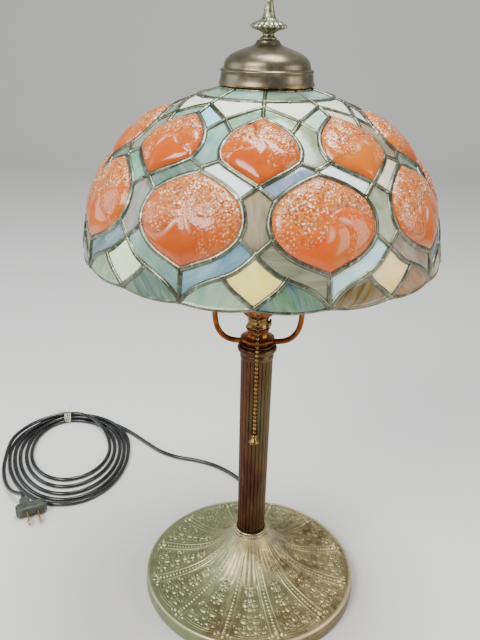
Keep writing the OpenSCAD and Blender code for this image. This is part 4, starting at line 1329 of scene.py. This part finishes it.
def make_vase_cap():
    """Spun cap over the shade's opening: flared skirt, rolled line, round shoulder and a hollow inside."""
    outer = [(38.7, 508.3), (38.6, 508.9), (38.0, 510.2), (37.5, 512.3), (37.2, 515.2), (37.0, 516.9),
             (37.4, 517.4), (37.6, 518.2), (37.4, 519.0), (36.5, 519.5), (35.7, 519.5), (35.3, 519.9),
             (34.9, 521.0)]
    outer += [(10.2 + 24.7 * math.cos(math.radians(a)) ** 0.9, 521.0 + 13.6 * math.sin(math.radians(a)))
              for a in range(8, 61, 4)]
    outer += [(20.2, 534.1), (17.0, 535.2), (13.8, 536.2), (11.4, 537.3), (9.9, 538.6), (9.2, 540.0),
              (8.8, 541.0)]
    inner = [(4.0, 541.0), (4.0, 537.0), (9.0, 535.2), (16.0, 532.4), (24.0, 528.6), (31.0, 523.6),
             (34.6, 518.8), (35.3, 516.0), (35.4, 512.0), (36.2, 508.8), (36.6, 508.3)]
    turned("cap_dome", outer + inner + outer[:1], 128, "shade", CAP_BRONZE, "cap_bronze", "vase_cap")


def make_finial():
    """Turned finial: collar, scalloped cup, ribbed bell above it, slender spire and knob."""
    build = Build()
    profile = [(3.3, 0, 0), (6.6, 0.0, 0), (7.0, 0.4, 0), (7.0, 1.2, 0), (5.5, 2.0, 0), (4.5, 3.0, 0),
               (4.5, 3.9, 0), (5.2, 4.9, 0.2), (7.8, 6.2, 0.6), (11.5, 7.4, 1), (14.0, 8.3, 1),
               (14.6, 9.0, 1), (14.5, 10.0, 1), (13.6, 11.3, 1), (11.6, 12.4, 1), (9.5, 13.1, 0.9),
               (7.4, 14.0, 0.8), (5.9, 14.9, 0.6), (5.0, 16.6, 0.4), (4.5, 18.6, 0.2), (4.1, 20.6, 0),
               (3.4, 24.0, 0), (2.8, 27.0, 0), (3.1, 27.5, 0), (3.0, 28.1, 0), (2.6, 28.6, 0),
               (3.1, 29.5, 0), (3.6, 30.9, 0), (3.4, 32.4, 0), (2.6, 33.9, 0), (1.6, 35.1, 0),
               (1.0, 35.9, 0), (0.5, 36.3, 0), (0.02, 36.4, 0)]
    segments, ribs = 144, 18
    verts, relief = [], []
    for r, z, depth in profile:
        for k in range(segments):
            a = 2 * math.pi * k / segments
            wave = abs(math.cos(ribs * a / 2)) ** 0.8
            q = r * (1 - 0.085 * depth * (1 - wave))
            verts.append((q * MM * math.cos(a), q * MM * math.sin(a), (541.3 + z) * MM))
            relief.append(0.5 + 0.45 * depth * (wave - 0.45))
    rows = len(profile)
    faces = [f for i in range(rows - 1) for f in ring_faces(i * segments, (i + 1) * segments, segments)]
    bore = len(verts)
    for z in (541.3, 552.5):
        verts += circle(3.3, z, segments)
        relief += [0.2] * segments
    faces += reversed_faces(ring_faces(bore, bore + segments, segments))
    faces.append(tuple(reversed([bore + segments + k for k in range(segments)])))
    build.add(verts, faces, relief=relief)
    finish_piece(build.make("finial_knob"), "finial", FINIAL_BRASS, "finial_brass", "finial")


make_vase_cap()
make_finial()


# ---------------------------------------------------------------- materials of the CAD nodes left as they are

def repaint(node, material):
    obj = bpy.data.objects[node] if node in bpy.data.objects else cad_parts[node]
    obj.data.materials.clear()
    obj.data.materials.append(material)


STEEL = plain_material("zinc_steel", rgb(150, 150, 146), rgb(196, 196, 190), 240, (0.28, 0.45), 1.0, 0.15)
IRON = plain_material("cast_iron", rgb(44, 42, 40), rgb(78, 74, 70), 180, (0.6, 0.85), 0.6, 0.6)
RUBBER = plain_material("bushing_rubber", rgb(14, 14, 14), rgb(30, 30, 30), 300, (0.5, 0.7), 0.0, 0.2)
LEAD_WIRE = plain_material("inner_cable", rgb(16, 16, 16), rgb(34, 32, 30), 220, (0.4, 0.55), 0.0, 0.1)
BAKELITE = plain_material("brown_bakelite", rgb(38, 20, 12), rgb(66, 36, 22), 120, (0.25, 0.4), 0.0, 0.1)
CARD = plain_material("liner_card", rgb(170, 146, 108), rgb(196, 174, 136), 500, (0.7, 0.9), 0.0, 0.3)
ALLOY = plain_material("bulb_alloy", rgb(176, 176, 172), rgb(214, 214, 210), 160, (0.25, 0.4), 1.0, 0.1)


def frosted_glass():
    s = Shader("frosted_glass", Metallic=0.0, IOR=1.5, Transmission_Weight=0.55)
    cloud = s.noise(40, 3)
    return s.out(Base_Color=s.mix(cloud, rgb(238, 238, 232), rgb(250, 250, 246)),
                 Roughness=s.ramp(s.noise(900, 2), (0.3, 0.32), (0.7, 0.46)))


FINISHES = {
    "felt_pad": felt_material(), "base_weight": IRON, "cord_bushing": RUBBER, "column": BRONZE,
    "lamp_pipe": STEEL, "pipe_washer": STEEL, "pipe_nut": STEEL, "inner_lead": LEAD_WIRE,
    "harp_saddle": COPPER, "harp_top": COPPER, "socket_shell": BRASS, "socket_liner": CARD,
    "socket_switch": BAKELITE, "socket_screw_shell": BRASS,
    "socket_contact": BRASS, "chain_guide": BRASS, "bulb_contact": ALLOY, "bulb_cap": ALLOY,
    "bulb_glass": frosted_glass(), "bulb_stem": ALLOY, "aperture_ring": BRASS, "spider": BRASS,
}
for node, material in FINISHES.items():
    repaint(node, material)


# ---------------------------------------------------------------- floor, backdrop and light

def make_stage():
    """A pale table top that curves up into a pale wall far behind."""
    build = Build()
    profile = [(-9.0, 0.0), (2.2, 0.0)]
    profile += [(2.2 + math.sin(math.radians(a)), 1.0 - math.cos(math.radians(a))) for a in range(10, 91, 10)]
    profile += [(3.2, 4.0)]
    rows = len(profile)
    verts = [(x, y, z - 0.00005) for y, z in profile for x in (-12.0, 12.0)]
    faces = [(2 * i, 2 * i + 1, 2 * i + 3, 2 * i + 2) for i in range(rows - 1)]
    build.add(verts, faces)
    obj = build.make("floor")
    obj.data.materials.append(floor_material())


def add_light(name, place, aim, size, power, colour, size_y=None):
    data = bpy.data.lights.new(name, "AREA")
    data.energy = power
    data.color = colour
    data.size = size
    if size_y:
        data.shape = "RECTANGLE"
        data.size_y = size_y
    lamp = bpy.data.objects.new(name, data)
    bpy.context.scene.collection.objects.link(lamp)
    lamp.location = place
    lamp.rotation_euler = (Vector(aim) - Vector(place)).to_track_quat("-Z", "Y").to_euler()


def make_lights():
    world = bpy.data.worlds.new("studio")
    bpy.context.scene.world = world
    world.use_nodes = True
    background = world.node_tree.nodes["Background"]
    background.inputs["Color"].default_value = (0.86, 0.9, 0.92, 1)
    background.inputs["Strength"].default_value = 0.52
    middle = (0, 0, 0.36)
    add_light("key", (-0.9, -1.1, 1.5), middle, 0.9, 38, (1.0, 0.98, 0.94))
    add_light("top", (0.15, 0.1, 1.7), middle, 0.8, 25, (0.95, 1.0, 1.0), 0.5)
    add_light("side", (1.5, -0.5, 0.7), middle, 1.0, 12, (1.0, 0.92, 0.82))
    add_light("left", (-1.6, 0.1, 0.8), middle, 1.0, 9, (0.84, 0.98, 1.0))


make_stage()
make_lights()

bpy.context.view_layer.update()
